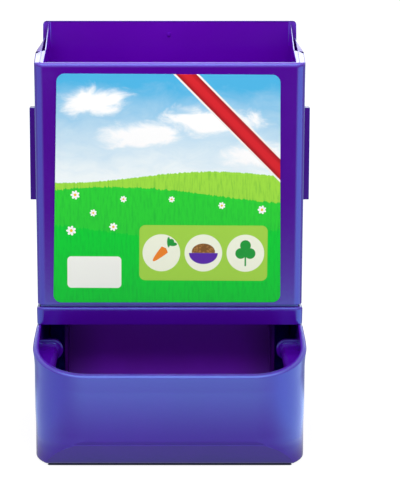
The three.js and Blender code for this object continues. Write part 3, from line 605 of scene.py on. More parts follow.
def binShell():
    size = binSizes

    def plan(side, front, rear, radius):
        return {"sideAt": side, "front": front, "rear": size["depth"] - rear, "frontRadius": radius[0],
                "rearRadius": radius[1], "stops": size["stops"], "cross": size["cross"],
                "steps": size["cornerSteps"]}

    def ring(side, front, rear, radius, heightAt):
        sideAt = side if callable(side) else (lambda depth: size["half"] - side)
        return [(x, y, heightAt(x, y)) for x, y in planLoop(plan(sideAt, front, rear, radius))]

    def earDrop(x):
        over = abs(x) - (size["half"] - size["ear"])
        return size["ear"] - math.sqrt(max(size["ear"] ** 2 - over ** 2, 0.0)) if over > 0 else 0.0

    def frontDrop(y):
        return between(y, size["frontDrop"])

    def outerTop(x, y):
        top = size["backTop"] - earDrop(x)
        if y > size["backStart"]:
            return top
        height = min(between(y, size["outerRim"]), top) - frontDrop(y)
        creased = size["crease"][0] < y < size["crease"][1] and abs(x) > size["creaseSide"]
        return height - size["creaseDepth"] if creased else height

    def ridgeTop(x, y):
        isBack = y > size["backStart"]
        return size["backTop"] - earDrop(x) if isBack else between(y, size["ridge"]) - frontDrop(y)

    def sideLine(line, shift=0.0):
        return lambda depth: between(depth, size[line]) + shift

    def bandTop(x, y):
        start, end = size["facetEnd"], size["pocket"][0][0]
        share = min(max((y - start) / (end - start), 0.0), 1.0)
        return ridgeTop(x, y) * (1 - share) + outerTop(x, y) * share

    def pocketFloor(x, y):
        inside = size["pocket"][0][0] <= y < size["pocket"][1][0]
        return min(between(y, size["pocket"]), bandTop(x, y)) if inside else bandTop(x, y)

    def underRidge(amount):
        # the thick rim reaches below its groove
        return lambda x, y: min(ridgeTop(x, y) - size["ridgeFace"], between(y, size["pocket"])) - amount

    def drop(top, amount):
        return lambda x, y: top(x, y) - amount

    def edgeDrop(share):
        rounding = [(0.0, size["edgeFront"]), (size["edgeBlend"], size["edgeSide"])]
        return lambda x, y: outerTop(x, y) - share * between(y, rounding)

    def level(height):
        return lambda x, y: height

    taper, wall, foot = size["half"] - size["footHalf"], size["wall"], size["foot"]
    bend, soft = size["footRound"], size["footSoft"]
    outer, inner = (size["frontCorner"], size["rearCorner"]), size["innerCorners"]
    tight = [corner - size["edgeRear"] for corner in outer]
    rings = [
        ring(taper + bend, bend, bend, tight, level(foot)),
        ring(taper + soft, soft, soft, outer, level(foot + soft)),
        ring(taper, 0.0, 0.0, outer, level(foot + bend)),
        ring(0.0, 0.0, 0.0, outer, level(size["straightTop"])),
    ]
    for angle in quarter(size["edgeSteps"]):
        drawn = 1 - math.cos(angle)
        front, rear = size["edgeFront"] * drawn, size["edgeRear"] * drawn
        rings.append(ring(sideLine("outerSide", -size["edgeSide"] * drawn), front, rear,
                          (outer[0] - front, outer[1] - rear), edgeDrop(1 - math.sin(angle))))
    outerSoft, lipSoft, faceSoft = size["ridgeSoft"]
    underEdge, wallEdge = size["underside"]
    tops = (bandTop, drop(bandTop, size["bandSoft"]), pocketFloor, pocketFloor, drop(ridgeTop, outerSoft), ridgeTop,
            ridgeTop, drop(ridgeTop, lipSoft), drop(ridgeTop, faceSoft), underRidge(underEdge))
    for (line, shift, front, rear, corners), top in zip(size["rimRows"], tops):
        rings.append(ring(sideLine(line, shift), front, rear, corners, top))
    rings.append(ring(wall, wall, wall, inner, underRidge(wallEdge)))
    rings.append(ring(wall + taper, wall, wall, inner, level(size["shoulder"])))
    for side, front, rear, height in size["spigotRows"]:
        rings.append(ring(side, front, rear, inner, level(height)))
    shell = Shell()
    shell.loft(rings)
    for side in (-1, 1):
        first = len(shell.points)
        shell.pad(size["flange"], size["flangeFoot"], size["flangeTop"], size["flangeEdge"])
        shell.points[first:] = [(x + side * size["flangeX"], y, z) for x, y, z in shell.points[first:]]
        shell.turned(size["boss"], (side * size["screwX"], 0.0, size["screwZ"]), size["bossSteps"])
    shell.turned(size["gateStub"], size["gate"], size["gateSteps"])
    return smooth(shell.piece("binShell"), angle=30)


finishPiece(binShell(), "feeder", "violet_bin", binPlastic, "hopper_shell")
print("bin made")


# Base: trough with a sloping rim, collar for the bin, and two side rails

baseSizes = {
    "half": 67.0, "front": -45.5, "rear": 70.3, "frontCorner": 27.2, "rearCorner": 3.0, "cornerSteps": 28,
    "wall": 2.3, "floor": 2.4, "rimTop": 62.1, "rimStart": -0.45, "rimFall": 0.337,
    "chamferRise": 13.3, "chamferRun": 11.5, "chamferBow": 1.4, "chamferRows": (3.0, 5.0, 7.0, 9.0), "bowSteps": 7,
    "footRound": 1.2, "footSetback": 0.6, "footSteps": 5, "wallFoot": 16.7, "wallMiddle": 25.0,
    "flare": 0.6, "flareReach": 9.0, "flareRun": 12.0, "flareEnd": 0.4, "flareRows": (0.0, 0.2, 0.4, 0.6, 0.8),
    "draft": 0.5, "draftLeft": (0.5, 0.4), "frontFlare": (0.3, 0.7),  # the wall widens smoothly towards the rim
    "rimOuter": 1.9, "rimLip": 0.62, "rimInner": 0.5, "rimSteps": (6, 3),  # the lip is a turn in radians
    "cavityTop": 28.0, "cavityRows": (18.0, 14.2, 12.0, 9.5, 7.0), "cavityFillet": 3.0, "filletSteps": 6,
    "dustHalf": 49.9, "dustFront": -26.9, "dustRear": 3.1, "dustCorner": 7.4, "dustRearCorner": 1.0, "dustLip": 0.3,
    "collarTop": 71.35, "collarFront": -0.45, "collarCorner": 3.9, "collarRound": 1.4, "collarSteps": 5,
    "collarLean": 1.7,  # the collar's front face draws back by this towards the opening
    "collarFoot": ((0.3, 0.0), (0.08, 0.08), (0.0, 0.3)),  # drawn in, and above the rim
    "collarWall": 1.8, "collarNeck": 3.9, "collarSeat": 64.2, "collarSoft": 0.15, "collarEdge": 0.2,
    "collarBends": 12, "collarLeast": 0.8, "troughLeast": 0.6,  # steps of its corners, and the least corners
    "sink": ((0.0, -2.2), (1.65, -2.2), (1.65, -1.6), (3.15, 0.0), (3.15, 0.3), (0.0, 0.3)),  # under a screw head
    "sinkSteps": 32,
    "railX": 59.6, "railZ": 47.3, "railRadius": 3.4, "railCollar": 5.4, "railEnd": 9.5, "railBack": 12.5,
    "railFront": -45.0, "railStep": 3.0, "railRows": 18, "railSteps": 20, "railWall": 65.4, "railSoft": 0.3,
    # along from where a rail gets its collar, and out from the rail's or the collar's radius
    "railRoot": ((-0.25, 0.0), (0.0, 0.2)), "railShoulder": ((0.0, -1.0), (0.15, -0.55), (0.5, -0.15), (1.0, 0.0)),
    "railTrim": (39.8, -18.3, 26.0),  # the trough's round corner, in which the rails end: centre and radius
    "railDip": 1.9, "railDipLine": ((8.0, 0.0), (16.0, 0.15), (24.0, 0.6), (35.0, 1.0), (50.0, 1.5)),
    "stops": (-16.0, -12.0, -8.0, -4.0, -1.6, -0.9, -0.46, -0.44, 4.0, 10.0, 20.0, 32.0, 44.0, 56.0, 64.0),
    "cross": (-30.0, -15.0, 0.0, 15.0, 30.0), "collarStops": (20.0, 40.0), "uncut": -100.0,
}


def troughSkin():
    size = baseSizes
    rise, run, bow, draft = size["chamferRise"], size["chamferRun"], size["chamferBow"], size["draft"]

    def rimHeight(y):
        return size["rimTop"] + min(y - size["rimStart"], 0.0) * size["rimFall"]

    def under(amount):
        return lambda y: rimHeight(y) - amount

    def chamfer(height, setback=0.0):
        # front edge at a height, where the flat chamfer under the trough cuts it back
        return size["front"] + setback + run * (1 - height / rise)

    def ring(inset, heightAt, proud=0.0, clip=size["uncut"], ahead=None):
        def flareAt(depth):
            return proud * min(max((size["rimStart"] - size["flareEnd"] - depth) / size["flareRun"], 0.0), 1.0)

        plan = {"sideAt": lambda depth: size["half"] + flareAt(depth), "rear": size["rear"],
                "front": size["front"] - (proud if ahead is None else ahead), "clip": clip,
                "frontRadius": size["frontCorner"] + proud, "rearRadius": size["rearCorner"],
                "least": size["troughLeast"], "stops": size["stops"], "cross": size["cross"],
                "steps": size["cornerSteps"]}
        return [(x, y, heightAt(y)) for x, y in planLoop(plan, inset)]

    def level(inset, height, clip=size["uncut"]):
        return ring(inset, lambda y: height, 0.0, clip)

    def dust(grow, height):
        # the opening in the floor, through which dust falls
        plan = {"half": size["dustHalf"] + grow, "front": size["dustFront"] - grow, "rear": size["dustRear"] + grow,
                "frontRadius": size["dustCorner"] + grow, "rearRadius": size["dustRearCorner"],
                "stops": size["stops"], "cross": size["cross"], "steps": size["cornerSteps"]}
        return [(x, y, height) for x, y in planLoop(plan)]

    rings = [dust(0.0, size["dustLip"]), dust(size["dustLip"], 0.0)]
    for angle in quarter(size["footSteps"]):
        lift, drawn = size["footRound"] * (1 - math.cos(angle)), 1 - math.sin(angle)
        rings.append(level(draft + size["footRound"] * drawn, lift, chamfer(lift) + size["footSetback"] * drawn))
    rings += [level(draft, height, chamfer(height)) for height in (*size["chamferRows"], rise - bow)]
    for step in range(1, size["bowSteps"]):
        share = step / size["bowSteps"]  # the chamfer's upper edge is a soft curve
        soft = (1 - share) ** 2 * run * bow / rise
        rings.append(level(draft, rise - bow + 2 * bow * share, size["front"] + draft + soft))
    rings.append(level(draft, size["wallFoot"]))

    # the wall widens, and a crisp edge with a rounding behind it runs along the rim
    flare, reach, lip, outer, inner = (size["flare"], size["flareReach"], size["rimLip"], size["rimOuter"],
                                       size["rimInner"])
    middleLeft, rimLeft = size["draftLeft"]
    middleFlare, rimFlare = size["frontFlare"]
    edge = outer * (1 - math.sin(lip))
    rings.append(ring(draft * middleLeft, lambda y: size["wallMiddle"], ahead=flare * middleFlare))
    for share in size["flareRows"]:
        rings.append(ring(draft * rimLeft * (1 - share), under(reach + (edge - reach) * share), flare * share ** 2,
                          ahead=flare * (rimFlare + (1 - rimFlare) * share)))
    outerSteps, innerSteps = size["rimSteps"]
    for step in range(outerSteps + 1):
        angle = lip + (math.pi / 2 - lip) * step / outerSteps
        rings.append(ring(outer * (math.cos(lip) - math.cos(angle)), under(outer * (1 - math.sin(angle))), flare))
    for angle in quarter(innerSteps):
        rings.append(ring(size["wall"] - inner * (1 - math.sin(angle)), under(inner * (1 - math.cos(angle)))))

    # down the inside to the floor
    rings.append(level(size["wall"], size["cavityTop"]))
    setback, fillet = size["wall"] * math.hypot(rise, run) / rise, size["cavityFillet"]
    rings += [level(size["wall"], height, chamfer(height, setback)) for height in size["cavityRows"]]
    for angle in reversed(quarter(size["filletSteps"])):
        height = size["floor"] + fillet * (1 - math.cos(angle))
        rings.append(level(size["wall"] + fillet * (1 - math.sin(angle)), height, chamfer(height, setback)))
    rings += [dust(size["dustLip"], size["floor"]), dust(0.0, size["floor"] - size["dustLip"])]
    return rings


def collarRing():
    # the collar over the back of the trough, with a countersink for each screw
    size = baseSizes
    bend, top, low, lean = size["collarRound"], size["collarTop"], size["rimTop"], size["collarLean"]
    wall, neck, seat, soft, edge = (size["collarWall"], size["collarNeck"], size["collarSeat"], size["collarSoft"],
                                    size["collarEdge"])
    levels = [(inset, low + above, lean) for inset, above in size["collarFoot"]]
    for angle in quarter(size["collarSteps"]):
        levels.append((bend * (1 - math.cos(angle)), top - bend * (1 - math.sin(angle)), 0.0))
    levels += [(wall - soft, top, 0.0), (wall, top - edge, 0.0), (wall, seat + soft, lean / 2),
               (wall + edge, seat, lean / 2), (neck - soft, seat, 0.0), (neck, seat - soft, 0.0),
               (neck, low + edge, 0.0), (neck - edge, low, 0.0)]
    skins = []
    for inset, height, drawn in levels:
        plan = {"half": size["half"], "front": size["collarFront"] + drawn, "rear": size["rear"],
                "frontRadius": size["collarCorner"], "rearRadius": size["rearCorner"],
                "stops": size["collarStops"], "cross": size["cross"], "steps": size["collarBends"],
                "least": size["collarLeast"]}
        skins.append([(x, y, height) for x, y in planLoop(plan, inset)])
    shell = Shell()
    shell.loft(skins)
    collar = shell.piece("collarRing")
    for side in (-1, 1):
        sink = Shell()
        centre = (side * binSizes["screwX"], size["rear"], binSizes["screwZ"])
        sink.turned(size["sink"], centre, size["sinkSteps"])
        cutAway(collar, sink)
    return collar


def railSections(side):
    # a rail is round on the inside, with a larger collar at its back end
    size = baseSizes
    radius, collar, end, back, soft = (size["railRadius"], size["railCollar"], size["railEnd"], size["railBack"],
                                       size["railSoft"])
    trimX, trimY, trimRadius = size["railTrim"]
    rows = [(size["railFront"] + size["railStep"] * step, radius) for step in range(size["railRows"])]
    rows += [(end + along, radius + out) for along, out in size["railRoot"]]
    rows += [(end + along, collar + out) for along, out in size["railShoulder"]]
    rows += [(back - soft, collar), (back, collar - soft)]
    sections = []
    for depth, radius in rows:
        turns = [math.pi / 2 + math.pi * step / size["railSteps"] for step in range(size["railSteps"] + 1)]
        outline = [(size["railX"] + radius * math.cos(turn), radius * math.sin(turn)) for turn in turns]
        outline += [(size["railWall"], -radius), (size["railWall"], radius)]
        section = []
        for x, above in outline:
            reach = trimRadius ** 2 - max(x - trimX, 0.0) ** 2
            y = max(depth, trimY - math.sqrt(max(reach, 0.0)))
            dip = between(-y, size["railDipLine"]) * size["railDip"]
            section.append((side * x, y, size["railZ"] - dip + above))
        sections.append(section)
    return sections


def baseShell():
    shell = Shell()
    shell.loft(troughSkin())
    collar = collarRing()
    for side in (-1, 1):
        shell.loft(railSections(side), False)
    base = shell.piece("baseShell")
    joined = bmesh.new()
    for part in (base, collar):
        joined.from_mesh(part.data)
    joined.to_mesh(base.data)
    joined.free()
    bpy.data.objects.remove(collar)
    return smooth(base, angle=30)


finishPiece(baseShell(), "feeder", "violet_base", basePlastic, "trough_base")
finishPiece(roundedCopy("feed_ramp", "feedRamp", bevel=0.45), "feeder", "violet_inner", innerShadedPlastic, "feed_ramp")
print("base and ramp made")


# Sifter floor: slots set out and cut by a node tree

sifterSizes = {
    "width": 111.8, "front": -32.9, "rear": 9.1, "frontCorner": 13.4, "rearCorner": 3.0,
    "bottom": 2.7, "thickness": 1.8, "slotWidth": 2.2, "slotLength": 6.5, "pitchAcross": 6.0, "pitchBack": 8.6,
    "columns": 16, "rows": 3, "cornerKeep": 46.0,  # slots further out than this are left out in the front row
    "cornerSteps": 16, "slotSteps": 5, "slotRound": 0.48, "weld": 0.001,
}


def nodeTree(name, sizes):
    # a tree with named inputs, which come back as values, and its output node
    tree = bpy.data.node_groups.new(name, "GeometryNodeTree")
    for label, kind in sizes:
        tree.interface.new_socket(label, in_out="INPUT", socket_type=kind)
    tree.interface.new_socket("Geometry", in_out="OUTPUT", socket_type="NodeSocketGeometry")
    graph = Graph(tree)
    given = graph.node("NodeGroupInput")
    return graph, {label: graph.value(given, label) for label, kind in sizes}, graph.node("NodeGroupOutput")


def treeEnd(graph, geometry, material, result):
    # instances become real geometry, which gets its material
    real = graph.node("GeometryNodeRealizeInstances", None, {"Geometry": geometry})
    painted = graph.node("GeometryNodeSetMaterial", None, {"Geometry": real.outputs[0], "Material": material})
    graph.tree.links.new(painted.outputs[0], result.inputs[0])
    return graph.tree


def grownPiece(name, tree, values):
    # runs a node tree on an empty mesh and keeps the plain mesh that it makes
    holder = bpy.data.objects.new(name + "Source", bpy.data.meshes.new(name + "Source"))
    bpy.context.scene.collection.objects.link(holder)
    growth = holder.modifiers.new("growth", "NODES")
    growth.node_group = tree
    sockets = {item.name: item.identifier for item in tree.interface.items_tree if item.in_out == "INPUT"}
    for label, value in values.items():
        growth[sockets[label]] = value
    holder.update_tag()
    evaluated = holder.evaluated_get(bpy.context.evaluated_depsgraph_get())
    mesh = bpy.data.meshes.new_from_object(evaluated)
    mesh.name = name
    holder.modifiers.clear()
    bpy.data.objects.remove(holder)
    return newPiece(name, mesh)


def sifterTree():
    graph, size, result = nodeTree("sifterSlots", [
        ("Width", "NodeSocketFloat"), ("Length", "NodeSocketFloat"), ("Front Corner", "NodeSocketFloat"),
        ("Rear Corner", "NodeSocketFloat"), ("Thickness", "NodeSocketFloat"), ("Slot Width", "NodeSocketFloat"),
        ("Slot Length", "NodeSocketFloat"), ("Pitch Across", "NodeSocketFloat"), ("Pitch Back", "NodeSocketFloat"),
        ("Columns", "NodeSocketInt"), ("Rows", "NodeSocketInt"), ("Corner Keep", "NodeSocketFloat"),
        ("Material", "NodeSocketMaterial")])
    outline = graph.node("GeometryNodeCurvePrimitiveQuadrilateral", None,
                         {"Width": size["Width"], "Height": size["Length"]})
    spot = graph.node("ShaderNodeSeparateXYZ", None,
                      {"Vector": graph.node("GeometryNodeInputPosition").outputs[0]})
    isFront = graph.value(spot, "Y") < 0.0
    radius = isFront * size["Front Corner"] + (1.0 - isFront) * size["Rear Corner"]
    outline = graph.node("GeometryNodeFilletCurve", {"mode": "POLY"},
                         {"Curve": outline.outputs["Curve"], "Radius": radius, "Count": sifterSizes["cornerSteps"],
                          "Limit Radius": True})
    slot = graph.node("GeometryNodeCurvePrimitiveQuadrilateral", None,
                      {"Width": size["Slot Width"], "Height": size["Slot Length"]})
    slot = graph.node("GeometryNodeFilletCurve", {"mode": "POLY"}, {
        "Curve": slot.outputs["Curve"], "Radius": size["Slot Width"] * sifterSizes["slotRound"],
        "Count": sifterSizes["slotSteps"], "Limit Radius": True})
    grid = graph.node("GeometryNodeMeshGrid", None, {
        "Size X": (size["Columns"] - 1.0) * size["Pitch Across"], "Size Y": (size["Rows"] - 1.0) * size["Pitch Back"],
        "Vertices X": size["Columns"], "Vertices Y": size["Rows"]})
    inFrontRow = graph.value(spot, "Y") < -mm
    inCorner = (abs(graph.value(spot, "X")) > size["Corner Keep"]) * inFrontRow
    slots = graph.node("GeometryNodeInstanceOnPoints", None, {
        "Points": grid.outputs["Mesh"], "Selection": (1.0 - inCorner) > 0.5, "Instance": slot.outputs["Curve"]})
    slots = graph.node("GeometryNodeRealizeInstances", None, {"Geometry": slots.outputs["Instances"]})
    joined = graph.node("GeometryNodeJoinGeometry")
    for source in (slots.outputs[0], outline.outputs["Curve"]):
        graph.tree.links.new(source, joined.inputs[0])
    sheet = graph.node("GeometryNodeFillCurve", None, {"Curve": joined.outputs[0]})
    raised = graph.node("GeometryNodeExtrudeMesh", {"mode": "FACES"}, {
        "Mesh": sheet.outputs[0], "Offset Scale": size["Thickness"], "Individual": False})
    underside = graph.node("GeometryNodeFlipFaces", None, {"Mesh": sheet.outputs[0]})
    whole = graph.node("GeometryNodeJoinGeometry")
    for source in (raised.outputs["Mesh"], underside.outputs[0]):
        graph.tree.links.new(source, whole.inputs[0])
    welded = graph.node("GeometryNodeMergeByDistance", None, {
        "Geometry": whole.outputs[0], "Distance": sifterSizes["weld"] * mm})
    return treeEnd(graph, welded.outputs[0], size["Material"], result)


def sifterFloor():
    size = sifterSizes
    floor = grownPiece("sifterFloor", sifterTree(), {
        "Width": size["width"] * mm, "Length": (size["rear"] - size["front"]) * mm,
        "Front Corner": size["frontCorner"] * mm, "Rear Corner": size["rearCorner"] * mm,
        "Thickness": size["thickness"] * mm, "Slot Width": size["slotWidth"] * mm,
        "Slot Length": size["slotLength"] * mm, "Pitch Across": size["pitchAcross"] * mm,
        "Pitch Back": size["pitchBack"] * mm, "Columns": size["columns"], "Rows": size["rows"],
        "Corner Keep": size["cornerKeep"] * mm, "Material": innerShadedPlastic})
    floor.data.transform(Matrix.Translation(place((0.0, (size["front"] + size["rear"]) / 2, size["bottom"]))))
    return smooth(floor, angle=40)


finishPiece(sifterFloor(), "sifter", "violet_inner", innerShadedPlastic, "sifter_floor")
print("sifter floor made")


# Label: a thin film with round corners, stuck on a little askew

def frontLabel():
    corner, steps = labelLook["cornerRadius"], labelLook["cornerSteps"]
    upperLeft, upperRight, lowerRight, lowerLeft = labelLook["corners"]
    wide, tall = upperRight[0] - upperLeft[0], upperLeft[1] - lowerLeft[1]

    def onFilm(x, z):
        # from a plain rectangle to the film's own four corners
        share, lift = x / wide + 0.5, z / tall + 0.5
        spots = []
        for axis in (0, 1):
            top = upperLeft[axis] * (1 - share) + upperRight[axis] * share
            foot = lowerLeft[axis] * (1 - share) + lowerRight[axis] * share
            spots.append(foot * (1 - lift) + top * lift)
        return spots

    outline = []
    for turn, (signX, signZ) in enumerate(((1, -1), (1, 1), (-1, 1), (-1, -1))):
        for step in range(steps + 1):
            angle = math.pi / 2 * (turn - 1 + step / steps)
            outline.append((signX * (wide / 2 - corner) + corner * math.cos(angle),
                            signZ * (tall / 2 - corner) + corner * math.sin(angle)))
    shell = Shell()
    rings = []
    for shrink, depth in labelLook["filmRows"]:
        ring = []
        for x, z in outline:
            spot = onFilm(x * (1 - 2 * shrink / wide), z * (1 - 2 * shrink / tall))
            ring.append((spot[0], depth, spot[1]))
        rings.append(ring)
    shell.loft(rings, False)
    return smooth(shell.piece("frontLabel"), angle=40)


finishPiece(frontLabel(), "feeder", "printed_film", labelFilm, "front_label")
print("label made")


# Bracket and clamp hardware

hardwareSizes = {
    "boltX": 36.0, "boltZ": 141.4, "boltFront": 71.0, "boltRadius": 2.5, "boltLength": 28.3, "boltSteps": 24,
    "headRadius": 5.4, "headHeight": 2.0,
    "headRows": ((0.0, 0.35), (0.55, 0.1), (0.86, 0.25), (1.0, 0.75)),  # share of the radius, and depth
    "pitch": 0.8, "threadDepth": 0.3, "threadStart": 4.6, "threadRows": 6, "threadEnd": 0.9,
    "tipLength": 0.5, "tipDrawn": 0.75,
    "washerFront": 85.0, "washerRadius": 6.0, "washerBore": 2.75, "washerThickness": 1.0, "washerSteps": 40,
    "washerEdges": (0.1, 0.2, 0.15),  # rounding at the bore, in front and behind
    "nutFront": 86.3, "nutHeight": 7.0, "hubRadius": 4.8, "hubTip": 4.0, "nutBore": 2.75, "hubSteps": 48,
    "boreEdges": (0.25, 0.3), "footEdge": 0.4, "tipEdge": 0.5, "hubFoot": (0.1, 1.4), "hubCone": (0.25, 1.2),
    "wingReach": 13.0, "wingThickness": 2.2, "wingTop": 11.0, "wingFoot": 5.0, "wingStations": 15, "wingSteps": 20,
    "wingRoot": (3.3, 0.5, 5.2),  # out from the axis, and the lower and the upper edge there
    "wingBow": (1.6, 1.15), "wingTip": (0.72, 0.28), "wingTaper": (1.05, 0.2),  # over the wing's length
    "wingSquare": 0.45,  # lower is squarer
    "wingEnd": (0.9, 0.75, 0.45),  # from this share on the wing is thinner, and thinnest at its end
    "screwRadius": 1.4, "screwLength": 8.5, "screwPitch": 0.7, "screwGroove": 0.25,
    "screwTip": (0.5, 1.6), "screwSteps": 32, "screwHead": 2.9, "screwHeadHeight": 1.6,
    "screwHeadRows": ((0.1, -0.12), (0.0, -0.05), (0.15, 0.0)),  # drawn in from the head's edge, and depth
    "crossLong": 3.0, "crossWide": 0.7, "crossDepths": (69.4, 71.0),
}


def boltMesh():
    # a cup head, a plain neck and a helical thread in one skin
    size, steps = hardwareSizes, hardwareSizes["boltSteps"]
    head, bolt, length = size["headRadius"], size["boltRadius"], size["boltLength"]
    profile = [(head * share, depth) for share, depth in size["headRows"]]
    profile += [(head, size["headHeight"]), (bolt, size["headHeight"]), (bolt, size["threadStart"])]
    rows = [(depth, [radius] * steps) for radius, depth in profile]
    depth = size["threadStart"]
    while depth < length - size["threadEnd"]:
        depth += size["pitch"] / size["threadRows"]
        row = []
        for step in range(steps):
            turn = (depth / size["pitch"] + step / steps) % 1.0
            row.append(bolt - size["threadDepth"] * (1 - abs(turn * 2 - 1)))
        rows.append((depth, row))
    rows += [(length - size["tipLength"], [bolt - size["threadDepth"]] * steps),
             (length, [bolt - size["tipDrawn"]] * steps), (length, [0.0] * steps)]
    angles = [math.tau * step / steps for step in range(steps)]
    shell = Shell()
    shell.loft([[(-size["boltX"] + radius * math.cos(angle), size["boltFront"] + depth,
                  size["boltZ"] + radius * math.sin(angle)) for angle, radius in zip(angles, row)]
                for depth, row in rows], False)
    return shell


def washerMesh():
    size = hardwareSizes
    bore, rim, thick = size["washerBore"], size["washerRadius"], size["washerThickness"]
    soft, front, rear = size["washerEdges"]
    shell = Shell()
    shell.turned([(bore, soft), (bore + soft, 0.0), (rim - front, 0.0), (rim, front), (rim, thick - rear),
                  (rim - rear, thick), (bore + soft, thick), (bore, thick - soft)],
                 (-size["boltX"], size["washerFront"], size["boltZ"]), size["washerSteps"])
    return shell


def collarScrewMesh():
    size = hardwareSizes
    radius, head, neck, tip = size["screwRadius"], size["screwHead"], -size["screwHeadHeight"], -size["screwLength"]
    pointWide, pointLong = size["screwTip"]
    depth = tip + pointLong
    profile = [(0.0, tip), (radius * pointWide, tip), (radius, depth)]
    while depth < neck - size["screwPitch"]:
        for reach in (radius - size["screwGroove"], radius):
            depth += size["screwPitch"] / 2
            profile.append((reach, depth))
    profile += [(radius, neck)] + [(head - drawn, depth) for drawn, depth in size["screwHeadRows"]] + [(0.0, 0.0)]
    shell = Shell()
    shell.turned(profile, (-binSizes["screwX"], baseSizes["rear"], binSizes["screwZ"]), size["screwSteps"])
    return shell


def pairTree():
    graph, size, result = nodeTree("pairOfParts", [
        ("Part", "NodeSocketObject"), ("Spacing", "NodeSocketFloat"), ("Material", "NodeSocketMaterial")])
    offset = graph.node("ShaderNodeCombineXYZ", None, {"X": size["Spacing"]})
    line = graph.node("GeometryNodeMeshLine", None, {"Count": 2, "Offset": offset.outputs[0]})
    part = graph.node("GeometryNodeObjectInfo", None, {"Object": size["Part"]})
    both = graph.node("GeometryNodeInstanceOnPoints", None, {
        "Points": line.outputs["Mesh"], "Instance": part.outputs["Geometry"]})
    return treeEnd(graph, both.outputs["Instances"], size["Material"], result)


pairs = pairTree()


def pairOf(name, shell, spacing, material, angle):
    source = shell.piece(name + "Left")
    both = grownPiece(name, pairs, {"Part": source, "Spacing": spacing * mm, "Material": material})
    bpy.data.objects.remove(source)
    return smooth(both, angle=angle)


def crossRecess(obj):
    # cuts a cross into each collar screw's head
    size = hardwareSizes
    for side in (-1, 1):
        x, z = side * binSizes["screwX"], binSizes["screwZ"]
        for wide, tall in ((size["crossLong"], size["crossWide"]), (size["crossWide"], size["crossLong"])):
            shell = Shell()
            corners = [(x + signX * wide / 2, z + signZ * tall / 2)
                       for signX, signZ in ((-1, -1), (1, -1), (1, 1), (-1, 1))]
            shell.loft([[(across, depth, up) for across, up in corners] for depth in size["crossDepths"]], False)
            cutAway(obj, shell)
    return smooth(obj, angle=30)


def wingSection(share, way, centre):
    # a squarish outline across a wing, at a share of its length
    size = hardwareSizes
    out, low, high = size["wingRoot"]
    bow, swell = size["wingBow"]
    tipStart, tipShare = size["wingTip"]
    thinFrom, thin, thinnest = size["wingEnd"]
    reach = out + (size["wingReach"] - out) * share
    low = low + (size["wingFoot"] - low) * share ** bow
    high = high + (size["wingTop"] - high) * math.sin(math.pi / 2 * min(share * swell, 1.0))
    if share > tipStart:
        rounding = 1 - math.sqrt(max(1 - ((share - tipStart) / tipShare) ** 2, 0.0))
        middle = (low + high) / 2
        low, high = low + (middle - low) * rounding, high + (middle - high) * rounding
    thick = size["wingThickness"] / 2 * (size["wingTaper"][0] - size["wingTaper"][1] * share)
    if share > thinFrom:
        thick *= thin if share < 1 else thinnest
    section = []
    for step in range(size["wingSteps"]):
        angle = math.tau * step / size["wingSteps"]
        flatX, flatZ = [math.copysign(abs(part) ** size["wingSquare"], part)
                        for part in (math.cos(angle), math.sin(angle))]
        section.append((centre[0] + way * reach, centre[1] + (low + high) / 2 + (high - low) / 2 * flatX,
                        centre[2] + thick * flatZ))
    return section


def wingNut(name, side):
    # a coned hub with a bore, and two wings that lean back
    size = hardwareSizes
    centre = (side * size["boltX"], size["nutFront"], size["boltZ"])
    base, tip, tall, bore = size["hubRadius"], size["hubTip"], size["nutHeight"], size["nutBore"]
    boreFront, boreRear = size["boreEdges"]
    foot, end = size["footEdge"], size["tipEdge"]
    footDrawn, footHeight = size["hubFoot"]
    coneGrown, coneLength = size["hubCone"]
    nut = Shell()
    nut.turned([(bore, boreFront), (bore + boreFront, 0.0), (base - foot, 0.0), (base, foot),
                (base - footDrawn, footHeight), (tip + coneGrown, tall - coneLength), (tip, tall - end),
                (tip - end, tall), (bore + boreRear, tall), (bore, tall - boreRear)], centre, size["hubSteps"])
    last = size["wingStations"] - 1
    for way in (-1, 1):
        nut.loft([wingSection(station / last, way, centre) for station in range(last + 1)], False)
    return smooth(nut.piece(name), angle=38)


bolts = pairOf("bracketBolts", boltMesh(), hardwareSizes["boltX"] * 2, zinc, angle=40)
finishPiece(bolts, "bracket", "zinc_steel", zinc, "bracket_bolt_left", "bracket_bolt_right")
washers = pairOf("clampWashers", washerMesh(), hardwareSizes["boltX"] * 2, zinc, angle=30)
finishPiece(washers, "clamp", "zinc_steel", zinc, "washer_left", "washer_right")
screws = crossRecess(pairOf("collarScrews", collarScrewMesh(), binSizes["screwX"] * 2, zinc, angle=30))
finishPiece(screws, "feeder", "zinc_steel", zinc, "collar_screw_left", "collar_screw_right")
finishPiece(wingNut("wingNutLeft", -1), "nut_left", "zinc_steel", zinc, "wing_nut_left")
finishPiece(wingNut("wingNutRight", 1), "nut_right", "zinc_steel", zinc, "wing_nut_right")
bracket = roundedCopy("mounting_bracket", "mountingBracket", bevel=0.5, lowered=1.0)
finishPiece(bracket, "bracket", "violet_bin", binPlastic, "mounting_bracket")
clamp = roundedCopy("clamp_plate", "clampPlate", bevel=0.45)
finishPiece(clamp, "clamp", "violet_bin", binPlastic, "clamp_plate")
print("bracket and clamp made")


# Stage: pale floor, soft lamps and a camera at the photograph's angle

